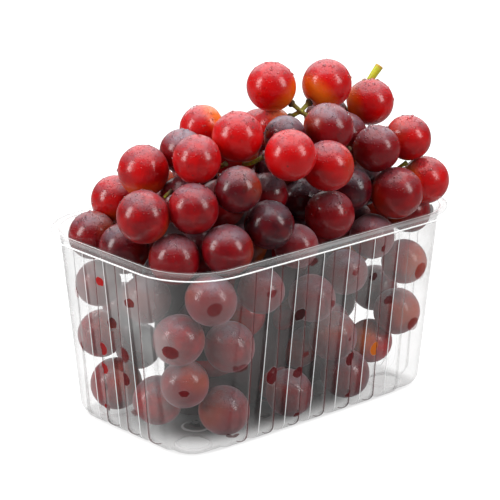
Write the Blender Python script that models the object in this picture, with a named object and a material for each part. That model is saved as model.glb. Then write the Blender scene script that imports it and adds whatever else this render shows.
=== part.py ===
"""Punnet of red grapes: a clear ribbed tray, heaped over its rim with berries and their stalks.

The origin is the middle of the tray's floor, +X runs along the tray and +Z is up. Sizes are in
millimetres, and each mesh is made in metres. Berries that lie on the near and top sides have their
own places below. Behind them the tray is filled by rule, and the berries then push one another
apart as they settle.
"""

import math
import random

import bmesh
import bpy
import numpy as np
from mathutils import Matrix, Vector
from mathutils.geometry import intersect_point_line

MM = 0.001
GAP = 0.35  # clearance between a berry and the tray, or between a berry and a stalk

# ---------------------------------------------------------------------------- tray
TRAY_HEIGHT = 94.0
WALL = 0.6
RIM_HALF = (87.2, 54.8)  # inner edge of the rim, half its length and half its width
RIM_CORNER = 26.8
CORNER_STEPS = 4
BASE_HALF = (77.0, 44.0)
BASE_CORNER = 12.0
BASE_ROUND = 5.5
FLANGE = 4.1
SKIRT_DROP = 2.8
SKIRT_FLARE = 1.1

RIB_PITCH = (16.3, 15.4)  # along a long wall and along a short wall
RIB_COUNT = (7, 4)
RIB_WIDTH = (9.5, 6.6)  # at the foot and under the rim
RIB_DEPTH = (2.8, 0.8)
RIB_SIDE = 0.9
RIB_TOP = 88.0
RIB_FOOT_LOSS = 0.45

FOOT_BUTTON = (62.0, 29.0)  # place of the round button in each corner of the floor
FOOT_BUTTON_RADIUS = 8.5
FOOT_BUTTON_RISE = 4.0
DRAIN = (47.0, 13.0)
DRAIN_RADIUS = 6.5
DRAIN_RISE = 2.0
DRAIN_HOLE = 1.8
FLOOR_DOMES = (  # place in each corner, radius and rise
    (FOOT_BUTTON, FOOT_BUTTON_RADIUS, FOOT_BUTTON_RISE),
    (DRAIN, DRAIN_RADIUS, DRAIN_RISE),
)

# ---------------------------------------------------------------------------- berries
# Centre x, y, z and diameter of each berry that was laid by hand, from the floor up.
FLOOR_BERRIES = (
    (32, -33, 13, 24), (-1, -10, 13, 24), (-5, -33, 12, 23), (-46, -33, 14, 24),
    (-66, 24, 16, 25), (-67, -8, 17, 24),
)
SECOND_BERRIES = (
    (56, -25, 22, 22), (15, -16, 27, 22), (63, -37, 39, 23), (21, -36, 36, 24),
    (69, -14, 44, 23), (-66, -28, 31, 23), (-43, 36, 27, 23), (-70, 30, 41, 23),
)
THIRD_BERRIES = (
    (-46, -37, 47, 24), (-71, -29, 54, 24), (-49, 37, 49, 22), (4, -40, 60, 23),
    (65, -40, 65, 22),
)
FOURTH_BERRIES = (
    (24, -41, 69, 22), (-30, -41, 72, 22), (-60, -40, 74, 24), (-72, -8, 69, 23),
    (-73, 27, 68, 22), (40, -42, 84, 22), (-10, -43, 90, 21),
)
RIM_BERRIES = (
    (-75, 28, 92, 23), (-75, 5, 91, 24), (-69, -25, 92, 24), (-50, -40, 96, 24),
    (-27, -43, 104, 23), (11, -43, 101, 24), (12, -21, 103, 21), (31, -36, 108, 21),
    (50, -48, 105, 25), (73, -44, 106, 23), (-58, 32, 105, 23), (-79, -15, 112, 25),
    (-60, -28, 115, 24), (-15, -28, 113, 20), (7, -10, 117, 21),
)
CROWN_BERRIES = (
    (-40, -36, 122, 22), (-64, 3, 127, 24), (-51, -20, 135, 23), (-43, 0, 133, 21),
    (-25, 7, 140, 21), (-28, -22, 142, 24), (-14, -43, 135, 24), (8, -45, 126, 24),
    (-2, -26, 138, 20), (18, 6, 132, 20), (21, -31, 139, 24), (45, -39, 126, 23),
    (67, -38, 127, 22), (68, -10, 139, 23), (16, 4, 153, 24), (42, -7, 152, 24),
)
LAID_BERRIES = (
    FLOOR_BERRIES + SECOND_BERRIES + THIRD_BERRIES + FOURTH_BERRIES + RIM_BERRIES + CROWN_BERRIES
)

SHOW_TURN = math.radians(-41.3)  # the side that the laid berries face
SHOW_TILT = math.radians(18.3)
FILL_DIAMETER = (21.0, 24.5)
FILL_STEP = 22.5
FILL_LAYER = 18.5
FILL_DARTS = 4000  # tries at a random place, after the regular ones
FILL_SEED = 7
FILL_ROOM = 0.88  # share of the touching distance at which a filling berry may start
PEEK = 1.5  # how far a filling berry may show between two laid ones
SETTLE_STEPS = 120
SQUASH = 0.0  # how far two filling berries may press into each other
HEAP_CENTRE = (4.0, 2.0, 88.0)
HEAP_HALF = (82.0, 50.0, 62.0)
FREE_CORNERS = (  # x, y and z ranges of the low corners that hold no berry
    ((58, 90), (-60, 22), (0, 34)),
    ((-90, -58), (28, 60), (0, 32)),
)
COVER = 1.0  # share of a berry's radius that hides what lies behind it
CORE_INSET = 20.0
CORE_FOOT = 9.0
CORE_RISE = 14.0
LAID_FACETS = (8, 6)  # sides and bands of a laid berry
FILL_FACETS = (6, 5)
SEEN_WAYS = 3  # a filling berry seen from fewer of the ways round the heap is left to the core
PEDICEL_RADIUS = 2.2
INNER_SHARE = 0.62  # a berry nearer the middle than this is fused straight to the core
STEM_ROOM = 2.4
SIGHT_LENGTH = 60.0  # the gap round the fork stays open this far behind it

# ---------------------------------------------------------------------------- stalks
FORK_JUNCTION = (26.8, -5.2, 140.6)
FORK_ARMS = (  # centre and radius of the berry that each arm ends on
    ((16, 4, 153), 12.0),
    ((42, -7, 152), 12.0),
    ((18, 6, 132), 10.0),
)
FORK_STEM = ((28.4, -7.2, 139.0), (28.0, -7.6, 135.0), (27.4, -8.0, 131.0))
STALK_RADIUS = 1.05
KNOB_RADIUS = 1.9
END_PATH = ((61, 9, 106), (64, 9, 117), (69, 8, 127), (75, 4, 138), (78, 0, 147), (83, -1, 153))
END_RADII = (1.4, 1.5, 1.5, 1.6, 1.7, 1.9)


def remove_everything():
    """Clear the scene, so that a second run starts from nothing."""
    for thing in list(bpy.data.objects):
        bpy.data.objects.remove(thing, do_unlink=True)


def make_material(name, colour, roughness, metallic=0.0, alpha=1.0):
    """Return a Principled material with its plain values."""
    material = bpy.data.materials.new(name)
    material.use_nodes = True
    shader = material.node_tree.nodes["Principled BSDF"]
    shader.inputs["Base Color"].default_value = (*colour, 1.0)
    shader.inputs["Roughness"].default_value = roughness
    shader.inputs["Metallic"].default_value = metallic
    shader.inputs["Alpha"].default_value = alpha
    material.diffuse_color = (*colour, alpha)
    return material


def link_mesh(name, shape, material=None):
    """Turn a bmesh in millimetres into an object in metres and free it."""
    bmesh.ops.scale(shape, vec=(MM, MM, MM), verts=shape.verts)
    mesh = bpy.data.meshes.new(name)
    shape.to_mesh(mesh)
    shape.free()
    if material:
        mesh.materials.append(material)
    thing = bpy.data.objects.new(name, mesh)
    bpy.context.scene.collection.objects.link(thing)
    return thing


def bake_modifiers(thing):
    """Replace an object's mesh by its evaluated mesh, with the modifiers gone."""
    graph = bpy.context.evaluated_depsgraph_get()
    mesh = bpy.data.meshes.new_from_object(thing.evaluated_get(graph))
    thing.modifiers.clear()
    thing.data = mesh


def boolean(thing, cutters, operation):
    """Join the cutters to an object, or cut them from it, and remove them."""
    group = bpy.data.collections.new(thing.name + "_" + operation.lower())
    for cutter in cutters:
        group.objects.link(cutter)
    step = thing.modifiers.new(operation.title(), "BOOLEAN")
    step.operand_type = "COLLECTION"
    step.collection = group
    step.operation = operation
    step.solver = "EXACT"
    bake_modifiers(thing)
    for cutter in cutters:
        bpy.data.objects.remove(cutter, do_unlink=True)
    bpy.data.collections.remove(group)


# ---------------------------------------------------------------------------- tray shape
def rib_stations(side):
    """Return the middle of each rib along a long wall (0) or a short wall (1)."""
    first = -(RIB_COUNT[side] - 1) / 2
    return [(first + k) * RIB_PITCH[side] for k in range(RIB_COUNT[side])]


def rib_size(height):
    """Return a rib's width and depth at a height above the floor."""
    share = min(max(height / RIB_TOP, 0.0), 1.0)
    width = RIB_WIDTH[0] + (RIB_WIDTH[1] - RIB_WIDTH[0]) * share
    depth = RIB_DEPTH[0] + (RIB_DEPTH[1] - RIB_DEPTH[0]) * share
    if height > RIB_TOP:
        depth = 0.0
    if height < BASE_ROUND:
        depth *= 1.0 - RIB_FOOT_LOSS * (1.0 - height / BASE_ROUND) ** 2
    return width, depth


def outline(half, corner, height):
    """Return one ring round the tray as points, with its ribs standing out of the walls."""
    width, depth = rib_size(height)
    ring = []
    for quarter in range(4):
        turn = quarter * math.pi / 2
        reach, across = (half[0], half[1]) if quarter % 2 == 0 else (half[1], half[0])
        middle = Vector((reach - corner, across - corner))
        spin = Matrix.Rotation(turn, 2)
        for step in range(CORNER_STEPS + 1):
            angle = step / CORNER_STEPS * math.pi / 2
            ring.append(spin @ (middle + corner * Vector((math.cos(angle), math.sin(angle)))))
        wall = 0 if quarter % 2 == 0 else 1
        for station in reversed(rib_stations(wall)):
            for offset, out in (
                (width / 2 + RIB_SIDE, 0.0), (width / 2, depth),
                (-width / 2, depth), (-width / 2 - RIB_SIDE, 0.0),
            ):
                ring.append(spin @ Vector((station + offset, across + out)))
    return [Vector((point.x, point.y, height)) for point in ring]


def wall_half(height):
    """Return the wall's half-lengths and corner radius at a height, at its outer face."""
    share = height / TRAY_HEIGHT
    half = tuple(b + (r + WALL - b) * share for b, r in zip(BASE_HALF, RIM_HALF))
    return half, BASE_CORNER + (RIM_CORNER + WALL - BASE_CORNER) * share


def tray_rings():
    """Return the tray's outer skin as rings, from the floor to the skirt's lower edge."""
    rings = []
    for angle in (90.0, 48.0, 0.0):
        turn = math.radians(angle)
        height = BASE_ROUND * (1.0 - math.sin(turn))
        inset = BASE_ROUND * (1.0 - math.cos(turn))
        half, corner = wall_half(height)
        rings.append(outline([h - inset for h in half], max(corner - inset, 3.0), height))
    top = TRAY_HEIGHT - WALL
    for height in (RIB_TOP, top):
        rings.append(outline(*wall_half(height), height))
    half, corner = wall_half(top)
    for reach, height in ((FLANGE, top), (FLANGE + SKIRT_FLARE - WALL, top - SKIRT_DROP)):
        ring = outline([h + reach for h in half], corner + reach, top)
        rings.append([Vector((p.x, p.y, height)) for p in ring])
    return rings


def dome_ball(radius, rise):
    """Return the radius of the ball whose cap has that width and that rise."""
    return (radius ** 2 + rise ** 2) / (2 * rise)


def cap(radius, rise, place, floor, grow=0.0):
    """Return a ball's cap as a bmesh: it rises from the floor over a circle of that radius."""
    ball = dome_ball(radius, rise)
    shape = bmesh.new()
    bmesh.ops.create_uvsphere(shape, u_segments=9, v_segments=12, radius=ball + grow)
    bmesh.ops.translate(shape, vec=(place[0], place[1], rise - ball), verts=shape.verts)
    cut = bmesh.ops.bisect_plane(
        shape, geom=shape.verts[:] + shape.edges[:] + shape.faces[:],
        plane_co=(0, 0, floor), plane_no=(0, 0, -1), clear_outer=True,
    )
    edges = [item for item in cut["geom_cut"] if isinstance(item, bmesh.types.BMEdge)]
    bmesh.ops.holes_fill(shape, edges=edges, sides=0)
    return shape


def four_corners(place):
    """Return a place and its mirror images about both middle planes."""
    return [(sx * place[0], sy * place[1]) for sx in (-1, 1) for sy in (-1, 1)]


def build_tray(material):
    """Make the clear tray: ribbed walls, rolled rim, corner buttons and drains."""
    shape = bmesh.new()
    rings = [[shape.verts.new(point) for point in ring] for ring in tray_rings()]
    shape.faces.new(list(reversed(rings[0])))
    for low, high in zip(rings, rings[1:]):
        for k in range(len(low)):
            after = (k + 1) % len(low)
            shape.faces.new((low[k], low[after], high[after], high[k]))
    tray = link_mesh("tray", shape, material)
    shell = tray.modifiers.new("Wall", "SOLIDIFY")
    shell.thickness = WALL * MM
    shell.offset = -1.0
    shell.use_even_offset = True
    bake_modifiers(tray)
    raised, hollows = [], []
    for spot, radius, rise in FLOOR_DOMES:
        for place in four_corners(spot):
            raised.append(link_mesh("raised", cap(radius, rise, place, WALL / 2)))
            hollows.append(link_mesh("hollow", cap(radius, rise, place, -1.0, grow=-WALL)))
    for place in four_corners(DRAIN):
        drill = bmesh.new()
        bmesh.ops.create_cone(
            drill, segments=7, cap_ends=True, radius1=DRAIN_HOLE, radius2=DRAIN_HOLE, depth=8.0,
            matrix=Matrix.Translation((place[0], place[1], 2.0)),
        )
        hollows.append(link_mesh("drill", drill))
    boolean(tray, raised, "UNION")
    boolean(tray, hollows, "DIFFERENCE")
    shade(tray)
    return tray


# ---------------------------------------------------------------------------- packing
def wall_room(place):
    """Return how far a point is inside the tray's inner wall, and the way towards its middle."""
    half, corner = wall_half(min(place[2], TRAY_HEIGHT))
    half = [h - WALL for h in half]
    corner -= WALL
    over = [abs(place[k]) - (half[k] - corner) for k in range(2)]
    if over[0] > 0 and over[1] > 0:
        length = math.hypot(*over)
        corner *= math.cos(math.pi / 4 / CORNER_STEPS)  # the middle of a flat facet
        inward = np.array([-math.copysign(over[0], place[0]), -math.copysign(over[1], place[1]), 0.0])
        return corner - length, inward / length
    axis = 0 if over[0] > over[1] else 1
    inward = np.zeros(3)
    inward[axis] = -math.copysign(1.0, place[axis])
    return corner - over[axis], inward


def seat(place, radius):
    """Move a ball off the floor, the buttons and the walls, as far as they reach."""
    place = place.copy()
    place[2] = max(place[2], WALL + GAP + radius)
    if place[2] < TRAY_HEIGHT + radius:
        rise = min(max(place[2] - TRAY_HEIGHT, 0.0), radius)
        reach = math.sqrt(radius ** 2 - rise ** 2)
        room, inward = wall_room(place)
        if room < reach + GAP:
            place += inward * (reach + GAP - room)
    for spot, width, rise in FLOOR_DOMES:
        ball = dome_ball(width, rise)
        for corner in four_corners(spot):
            away = place - np.array([corner[0], corner[1], rise - ball])
            need = ball + radius + GAP
            length = np.linalg.norm(away)
            if length < need:
                place += away / length * (need - length)
    return place


def show_direction():
    """Return the way in which the laid side is looked at, from the front to the back."""
    level = math.cos(SHOW_TILT)
    return np.array([-math.sin(SHOW_TURN) * level, math.cos(SHOW_TURN) * level, -math.sin(SHOW_TILT)])


def split_by_view(offset):
    """Return how far behind and how far beside the line of sight an offset lies."""
    along = float(offset @ show_direction())
    return along, float(np.linalg.norm(offset - along * show_direction()))


def keeps_laid_side(place, radius, laid):
    """Tell whether a filling berry stays behind the laid berries and under their skyline."""
    for centre, size in laid:
        along, beside = split_by_view(place - centre)
        if along < 0 and beside < size + 0.85 * radius:
            return False
    if place[2] < TRAY_HEIGHT - radius:
        return True
    right = np.cross(show_direction(), (0, 0, 1))
    right /= np.linalg.norm(right)
    up = np.cross(right, show_direction())
    for angle in (0.0, 0.8, math.pi / 2, math.pi - 0.8, math.pi):
        edge = place + radius * (right * math.cos(angle) + up * math.sin(angle))
        skyline = -math.inf
        for centre, size in laid:
            aside = (edge - centre) @ right
            if abs(aside) < size:
                skyline = max(skyline, centre @ up + math.sqrt(size ** 2 - aside ** 2))
        if edge @ up > skyline + PEEK:
            return False
    return True


def in_heap(place):
    """Tell whether a point is within the heap's rounded top, or below the rim."""
    return place[2] < TRAY_HEIGHT or heap_share(place) < 1.0


def heap_share(place):
    """Return how far out in the heap's rounded top a point is, with 1 on its surface."""
    return math.sqrt(sum(((p - c) / h) ** 2 for p, c, h in zip(place, HEAP_CENTRE, HEAP_HALF)))


def in_free_corner(place):
    """Tell whether a point is in one of the low corners that stay empty."""
    return any(all(low < p < high for p, (low, high) in zip(place, box)) for box in FREE_CORNERS)


def filling_sites():
    """Yield the centres at which a filling berry is tried, layer by layer, slightly scattered."""
    draw = random.Random(FILL_SEED)
    layer = 0
    height = WALL + GAP + FILL_DIAMETER[1] / 2
    while height < HEAP_CENTRE[2] + HEAP_HALF[2]:
        row = 0
        across = -RIM_HALF[1] + (layer % 2) * FILL_STEP * 0.3
        while across < RIM_HALF[1]:
            along = -RIM_HALF[0] + ((row + layer) % 2) * FILL_STEP / 2
            while along < RIM_HALF[0]:
                shake = [draw.uniform(-2.5, 2.5) for _ in range(3)]
                diameter = draw.uniform(*FILL_DIAMETER)
                yield np.array([along, across, height]) + shake, diameter / 2
                along += FILL_STEP
            across += FILL_STEP * 0.87
            row += 1
        height += FILL_LAYER
        layer += 1
    for _ in range(FILL_DARTS):
        place = [draw.uniform(-h, h) for h in RIM_HALF] + [draw.uniform(12.0, 140.0)]
        yield np.array(place), draw.uniform(*FILL_DIAMETER) / 2


def settle(places, radii, held):
    """Push overlapping balls apart, and away from the tray, while the held ones stay."""
    places = np.array(places)
    radii = np.array(radii)
    touch = radii[:, None] + radii[None, :] - SQUASH
    give = np.where(held[:, None] & held[None, :], 0.0, 0.5)
    give = np.where(~held[:, None] & held[None, :], 1.0, give)
    give = np.where(held[:, None] & ~held[None, :], 0.0, give)
    for _ in range(SETTLE_STEPS):
        offset = places[:, None] - places[None, :]
        length = np.linalg.norm(offset, axis=2) + np.eye(len(radii)) * 1e6
        push = np.clip(touch - length, 0.0, None) * give * 0.5
        places += (offset / length[:, :, None] * push[:, :, None]).sum(axis=1)
        for k in np.flatnonzero(~held):
            places[k] = seat(places[k], radii[k])
    return places


def stem_balls():
    """Return small balls along the stalks, which the berries and their pedicels keep clear of."""
    joint = np.array(FORK_JUNCTION)
    paths = [np.array(END_PATH, float), np.array((FORK_JUNCTION,) + FORK_STEM)]
    paths += [np.array([joint, joint + (np.array(centre) - joint) * 0.35]) for centre, _ in FORK_ARMS]
    paths.append(np.array([joint, joint + SIGHT_LENGTH * show_direction()]))
    balls = []
    for path in paths:
        for start, end in zip(path, path[1:]):
            for share in np.linspace(0.1, 0.9, 2 + int(np.linalg.norm(end - start) / 6.0)):
                balls.append((start + (end - start) * share, STEM_ROOM))
    return balls


def pack_berries():
    """Return the centre and radius of every berry, the laid ones first."""
    laid = []
    for x, y, z, diameter in LAID_BERRIES:
        laid.append((seat(np.array([x, y, z], float), diameter / 2), diameter / 2))
    berries = list(laid)
    stems = stem_balls()
    for place, radius in filling_sites():
        place = seat(place, radius)
        if in_free_corner(place) or not in_heap(place) or not keeps_laid_side(place, radius, laid):
            continue
        if place[2] > TRAY_HEIGHT and wall_room(place)[0] < radius * 0.8:
            continue
        others = berries + stems
        if all(np.linalg.norm(place - c) > FILL_ROOM * (radius + size) for c, size in others):
            berries.append((place, radius))
    held = np.arange(len(berries) + len(stems)) < len(laid)
    held[len(berries):] = True
    everything = berries + stems
    places = settle([b[0] for b in everything], [b[1] for b in everything], held)
    return [(places[k], berries[k][1]) for k in range(len(berries))], len(laid)


# ---------------------------------------------------------------------------- heap
def build_core(material):
    """Make the plain body inside the heap: a tapered block under a rounded top."""
    shape = bmesh.new()
    rings = []
    for height in (CORE_FOOT, 34.0, 62.0, 90.0):
        half, corner = wall_half(height)
        rings.append(core_ring([h - CORE_INSET for h in half], corner, height))
    for share in (0.42, 0.68, 0.86, 0.97):
        height = HEAP_CENTRE[2] + CORE_RISE * share
        narrow = math.sqrt(1.0 - share ** 2)
        half = [(h - CORE_INSET) * narrow for h in wall_half(TRAY_HEIGHT)[0]]
        rings.append(core_ring(half, min(half) * 0.9, height))
    made = [[shape.verts.new(point) for point in ring] for ring in rings]
    shape.faces.new(list(reversed(made[0])))
    shape.faces.new(made[-1])
    for low, high in zip(made, made[1:]):
        for k in range(len(low)):
            after = (k + 1) % len(low)
            shape.faces.new((low[k], low[after], high[after], high[k]))
    return link_mesh("grapes", shape, material)


def core_ring(half, corner, height):
    """Return a rounded rectangle of twelve points at a height."""
    corner = min(corner, min(half) * 0.95)
    ring = []
    for quarter in range(4):
        reach, across = (half[0], half[1]) if quarter % 2 == 0 else (half[1], half[0])
        middle = Vector((reach - corner, across - corner))
        for step in range(3):
            angle = step * math.pi / 4
            point = middle + corner * Vector((math.cos(angle), math.sin(angle)))
            point = Matrix.Rotation(quarter * math.pi / 2, 2) @ point
            ring.append(Vector((point.x, point.y, height)))
    return ring


def looking_ways():
    """Return level and upward directions from which the heap is seen."""
    ways = []
    for tilt, count in ((0.0, 12), (0.7, 8), (1.2, 4)):
        for k in range(count):
            turn = 2 * math.pi * (k + tilt) / count
            ways.append((math.cos(turn) * math.cos(tilt), math.sin(turn) * math.cos(tilt), math.sin(tilt)))
    return np.array(ways + [(0.0, 0.0, 1.0)])


def berry_shows(k, places, radii):
    """Tell whether a berry is in sight from some sides, past all the others."""
    offset = np.delete(places - places[k], k, axis=0)
    cover = np.delete(radii, k) * COVER
    seen = 0
    for way in looking_ways():
        along = offset @ way
        beside = np.linalg.norm(offset - along[:, None] * way, axis=1)
        seen += not np.any((along > 0) & (beside < cover))
    return seen >= SEEN_WAYS


def outwardness(place):
    """Return how far a berry lies from the middle of the heap, with about 1 on its outside."""
    return heap_share((place[0], place[1], max(place[2], HEAP_CENTRE[2])))


def pedicel_ends(berries):
    """Yield the ends of the hidden stalk that joins each berry to one further in, or to the core."""
    stems = stem_balls()
    linked = []
    for place, radius in sorted(berries, key=lambda berry: outwardness(berry[0])):
        centre = Vector(place)
        foot = Vector((HEAP_CENTRE[0], HEAP_CENTRE[1], min(max(centre.z, 24.0), TRAY_HEIGHT)))
        near = sorted(linked, key=lambda other: (other - centre).length)
        if outwardness(place) < INNER_SHARE or not near:
            near.insert(0, foot.lerp(Vector((centre.x, centre.y, foot.z)), 0.5))
        for end in near:
            if all(rod_distance(Vector(ball), centre, end) > PEDICEL_RADIUS + size for ball, size in stems):
                yield centre, end
                break
        linked.append(centre)


def build_grapes(berries, laid_count, material):
    """Make the heap: the core with every berry that shows fused to it by its stalk."""
    grapes = build_core(material)
    places = np.array([place for place, radius in berries])
    radii = np.array([radius for place, radius in berries])
    shown = [b for k, b in enumerate(berries) if k < laid_count or berry_shows(k, places, radii)]
    pieces = []
    for k, (place, radius) in enumerate(shown):
        ball = bmesh.new()
        sides, bands = LAID_FACETS if k < laid_count else FILL_FACETS
        bmesh.ops.create_uvsphere(ball, u_segments=sides, v_segments=bands, radius=radius)
        turn = Matrix.Rotation(0.7 * k, 4, "Z") @ Matrix.Rotation(0.4 * k, 4, "X")
        bmesh.ops.transform(ball, matrix=Matrix.Translation(Vector(place)) @ turn, verts=ball.verts)
        pieces.append(link_mesh("berry", ball))
    for start, end in pedicel_ends(shown):
        pieces.append(link_mesh("pedicel", rod(start, end, PEDICEL_RADIUS, 3)))
    boolean(grapes, pieces, "UNION")
    keep_largest(grapes)
    shade(grapes, 60.0)
    return grapes


def rod_distance(point, start, end):
    """Return the distance from a point to the line between two others."""
    nearest, share = intersect_point_line(point, start, end)
    nearest = start.lerp(end, min(max(share, 0.0), 1.0))
    return (point - nearest).length


def rod(start, end, radius, sides=5):
    """Return a rod between two points as a bmesh."""
    way = end - start
    shape = bmesh.new()
    bmesh.ops.create_cone(
        shape, segments=sides, cap_ends=True, radius1=radius, radius2=radius, depth=way.length,
        matrix=Matrix.Translation((start + end) / 2) @ way.to_track_quat("Z", "Y").to_matrix().to_4x4(),
    )
    return shape


def shade(thing, degrees=40.0):
    """Shade a mesh smooth, with its sharper edges kept."""
    thing.data.shade_smooth()
    thing.data.set_sharp_from_angle(angle=math.radians(degrees))


def keep_largest(thing):
    """Delete the loose scraps and sealed hollows of a fused mesh, keeping its outer body."""
    shape = bmesh.new()
    shape.from_mesh(thing.data)
    left = set(shape.verts)
    groups = []
    while left:
        group, queue = set(), [left.pop()]
        while queue:
            vert = queue.pop()
            group.add(vert)
            for edge in vert.link_edges:
                other = edge.other_vert(vert)
                if other in left:
                    left.discard(other)
                    queue.append(other)
        groups.append(group)
    groups.sort(key=len)
    loose = [vert for group in groups[:-1] for vert in group]
    bmesh.ops.delete(shape, geom=loose, context="VERTS")
    shape.to_mesh(thing.data)
    shape.free()


# ---------------------------------------------------------------------------- stalks
def stalk(name, path, radii, material, sides=2):
    """Make a stalk as a bevelled curve through its points, turned into a mesh."""
    curve = bpy.data.curves.new(name, "CURVE")
    curve.dimensions = "3D"
    curve.bevel_depth = MM
    curve.bevel_resolution = sides
    curve.use_fill_caps = True
    spline = curve.splines.new("POLY")
    spline.points.add(len(path) - 1)
    for point, place, radius in zip(spline.points, path, radii):
        point.co = (*(Vector(place) * MM), 1.0)
        point.radius = radius
    thing = bpy.data.objects.new(name, curve)
    bpy.context.scene.collection.objects.link(thing)
    graph = bpy.context.evaluated_depsgraph_get()
    mesh = bpy.data.meshes.new_from_object(thing.evaluated_get(graph))
    bpy.data.objects.remove(thing, do_unlink=True)
    mesh.materials.clear()
    mesh.materials.append(material)
    thing = bpy.data.objects.new(name, mesh)
    bpy.context.scene.collection.objects.link(thing)
    shade(thing, 70.0)
    return thing


def build_fork(material):
    """Make the forked stalk at the crown: three arms with knobs, and the stem into the heap."""
    joint = Vector(FORK_JUNCTION)
    path = [joint + Vector((-0.4, 0.3, 0.7))] + [Vector(point) for point in FORK_STEM]
    fork = stalk("stalk_fork", path, [STALK_RADIUS * 1.15] * len(path), material, sides=1)
    pieces = []
    for centre, radius in FORK_ARMS:
        away = (joint - Vector(centre)).normalized()
        foot = Vector(centre) + away * (radius + GAP + 0.4)
        pieces.append(link_mesh("arm", rod(joint + away * STALK_RADIUS, foot, STALK_RADIUS, 7)))
        pad = bmesh.new()
        bmesh.ops.create_cone(
            pad, segments=7, cap_ends=True, radius1=KNOB_RADIUS, radius2=STALK_RADIUS, depth=1.8,
            matrix=Matrix.Translation(foot + away * 0.7) @ away.to_track_quat("Z", "Y").to_matrix().to_4x4(),
        )
        pieces.append(link_mesh("knob", pad))
    heart = bmesh.new()
    bmesh.ops.create_icosphere(heart, subdivisions=1, radius=STALK_RADIUS * 1.5,
                               matrix=Matrix.Translation(joint))
    pieces.append(link_mesh("heart", heart))
    boolean(fork, pieces, "UNION")
    return fork


def main():
    """Build every node."""
    remove_everything()
    clear = make_material("clear_plastic", (0.86, 0.88, 0.88), 0.08, alpha=0.35)
    skin = make_material("berry_skin", (0.33, 0.01, 0.02), 0.25)
    green = make_material("stalk_green", (0.24, 0.22, 0.04), 0.6)
    build_tray(clear)
    berries, laid_count = pack_berries()
    build_grapes(berries, laid_count, skin)
    build_fork(green)
    stalk("stalk_end", END_PATH, END_RADII, green)


main()
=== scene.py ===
"""Looks for a clear ribbed punnet heaped with red table grapes.

The frame gives every place: its origin is the middle of the tray's floor, +X runs along the tray and
+Z is up. Sizes here are in millimetres and meshes are made in metres. Berries that show from the
front and the top are laid one by one, the tray behind them is filled by rule, and each berry is a
slightly uneven ball with its own ripeness, bloom and stalk end.
"""

import logging
import math
import random
from dataclasses import dataclass, field
from enum import Enum
from functools import partial, reduce
from typing import Iterator

import bmesh
import bpy
import numpy as np
from mathutils import Matrix, Vector, noise


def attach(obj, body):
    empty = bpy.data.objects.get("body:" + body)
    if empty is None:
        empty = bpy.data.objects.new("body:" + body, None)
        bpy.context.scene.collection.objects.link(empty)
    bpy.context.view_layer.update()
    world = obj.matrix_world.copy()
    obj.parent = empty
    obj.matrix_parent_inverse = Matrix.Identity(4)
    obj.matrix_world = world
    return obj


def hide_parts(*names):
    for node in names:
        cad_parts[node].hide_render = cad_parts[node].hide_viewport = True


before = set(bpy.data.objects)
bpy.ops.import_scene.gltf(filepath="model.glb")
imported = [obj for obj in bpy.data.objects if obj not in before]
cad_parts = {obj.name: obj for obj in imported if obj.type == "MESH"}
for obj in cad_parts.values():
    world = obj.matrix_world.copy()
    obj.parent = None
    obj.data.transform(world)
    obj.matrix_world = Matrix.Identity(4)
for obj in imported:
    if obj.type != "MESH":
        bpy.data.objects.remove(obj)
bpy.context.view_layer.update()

MM = 0.001
BODY = "root"
LOG = logging.getLogger("punnet")

Colour = tuple[float, float, float]
Triple = tuple[float, float, float]
Ball = tuple[np.ndarray, float]
Ring = list[tuple[Vector, float]]
Shape = bmesh.types.BMesh
Output = bpy.types.NodeSocket
Material = bpy.types.Material
Piece = bpy.types.Object


class Socket(Enum):
    """Names of the Principled shader's sockets that the finishes use."""

    BASE = "Base Color"
    ROUGHNESS = "Roughness"
    ALPHA = "Alpha"
    IOR = "IOR"
    SPECULAR = "Specular IOR Level"
    NORMAL = "Normal"
    SUBSURFACE = "Subsurface Weight"
    SUBSURFACE_RADIUS = "Subsurface Radius"
    SUBSURFACE_SCALE = "Subsurface Scale"
    TRANSMISSION = "Transmission Weight"
    COAT = "Coat Weight"
    COAT_ROUGHNESS = "Coat Roughness"
    SHEEN = "Sheen Weight"
    SHEEN_ROUGHNESS = "Sheen Roughness"
    SHEEN_TINT = "Sheen Tint"
    EMISSION = "Emission Color"
    EMISSION_STRENGTH = "Emission Strength"


class Slot(Enum):
    """The material slots."""

    PLASTIC = "clear_plastic"
    SKIN = "berry_skin"
    STALK = "stalk"


# ---------------------------------------------------------------------------- mesh helpers
def finish_piece(name: str, shape: Shape, materials: list[Material]) -> Piece:
    """Turn a shape in millimetres into a smooth object in metres.

    Args:
        name: the object's name.
        shape: the shape, which is freed.
        materials: its materials, by slot.

    Returns:
        The linked object.
    """
    bmesh.ops.scale(shape, vec=(MM, MM, MM), verts=shape.verts)
    mesh = bpy.data.meshes.new(name)
    shape.to_mesh(mesh)
    shape.free()
    mesh.shade_smooth()
    for material in materials:
        mesh.materials.append(material)
    piece = bpy.data.objects.new(name, mesh)
    bpy.context.scene.collection.objects.link(piece)
    return piece


def settle_piece(piece: Piece, slot: Slot, *nodes: str) -> None:
    """Put a piece on the body and hide the solids that it stands for.

    Args:
        piece: the finished object.
        slot: not used.
        nodes: names of the solids that it replaces.
    """
    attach(piece, BODY)
    if nodes:
        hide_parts(*nodes)


def bake_modifiers(piece: Piece) -> None:
    """Replace a piece's mesh by its evaluated mesh, with the modifiers gone."""
    graph = bpy.context.evaluated_depsgraph_get()
    mesh = bpy.data.meshes.new_from_object(piece.evaluated_get(graph))
    piece.modifiers.clear()
    piece.data = mesh


def smoothstep(value: float, low: float, high: float) -> float:
    """Return 0 below low, 1 above high and a smooth rise between them."""
    share = min(max((value - low) / (high - low), 0.0), 1.0)
    return share * share * (3.0 - 2.0 * share)


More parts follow.
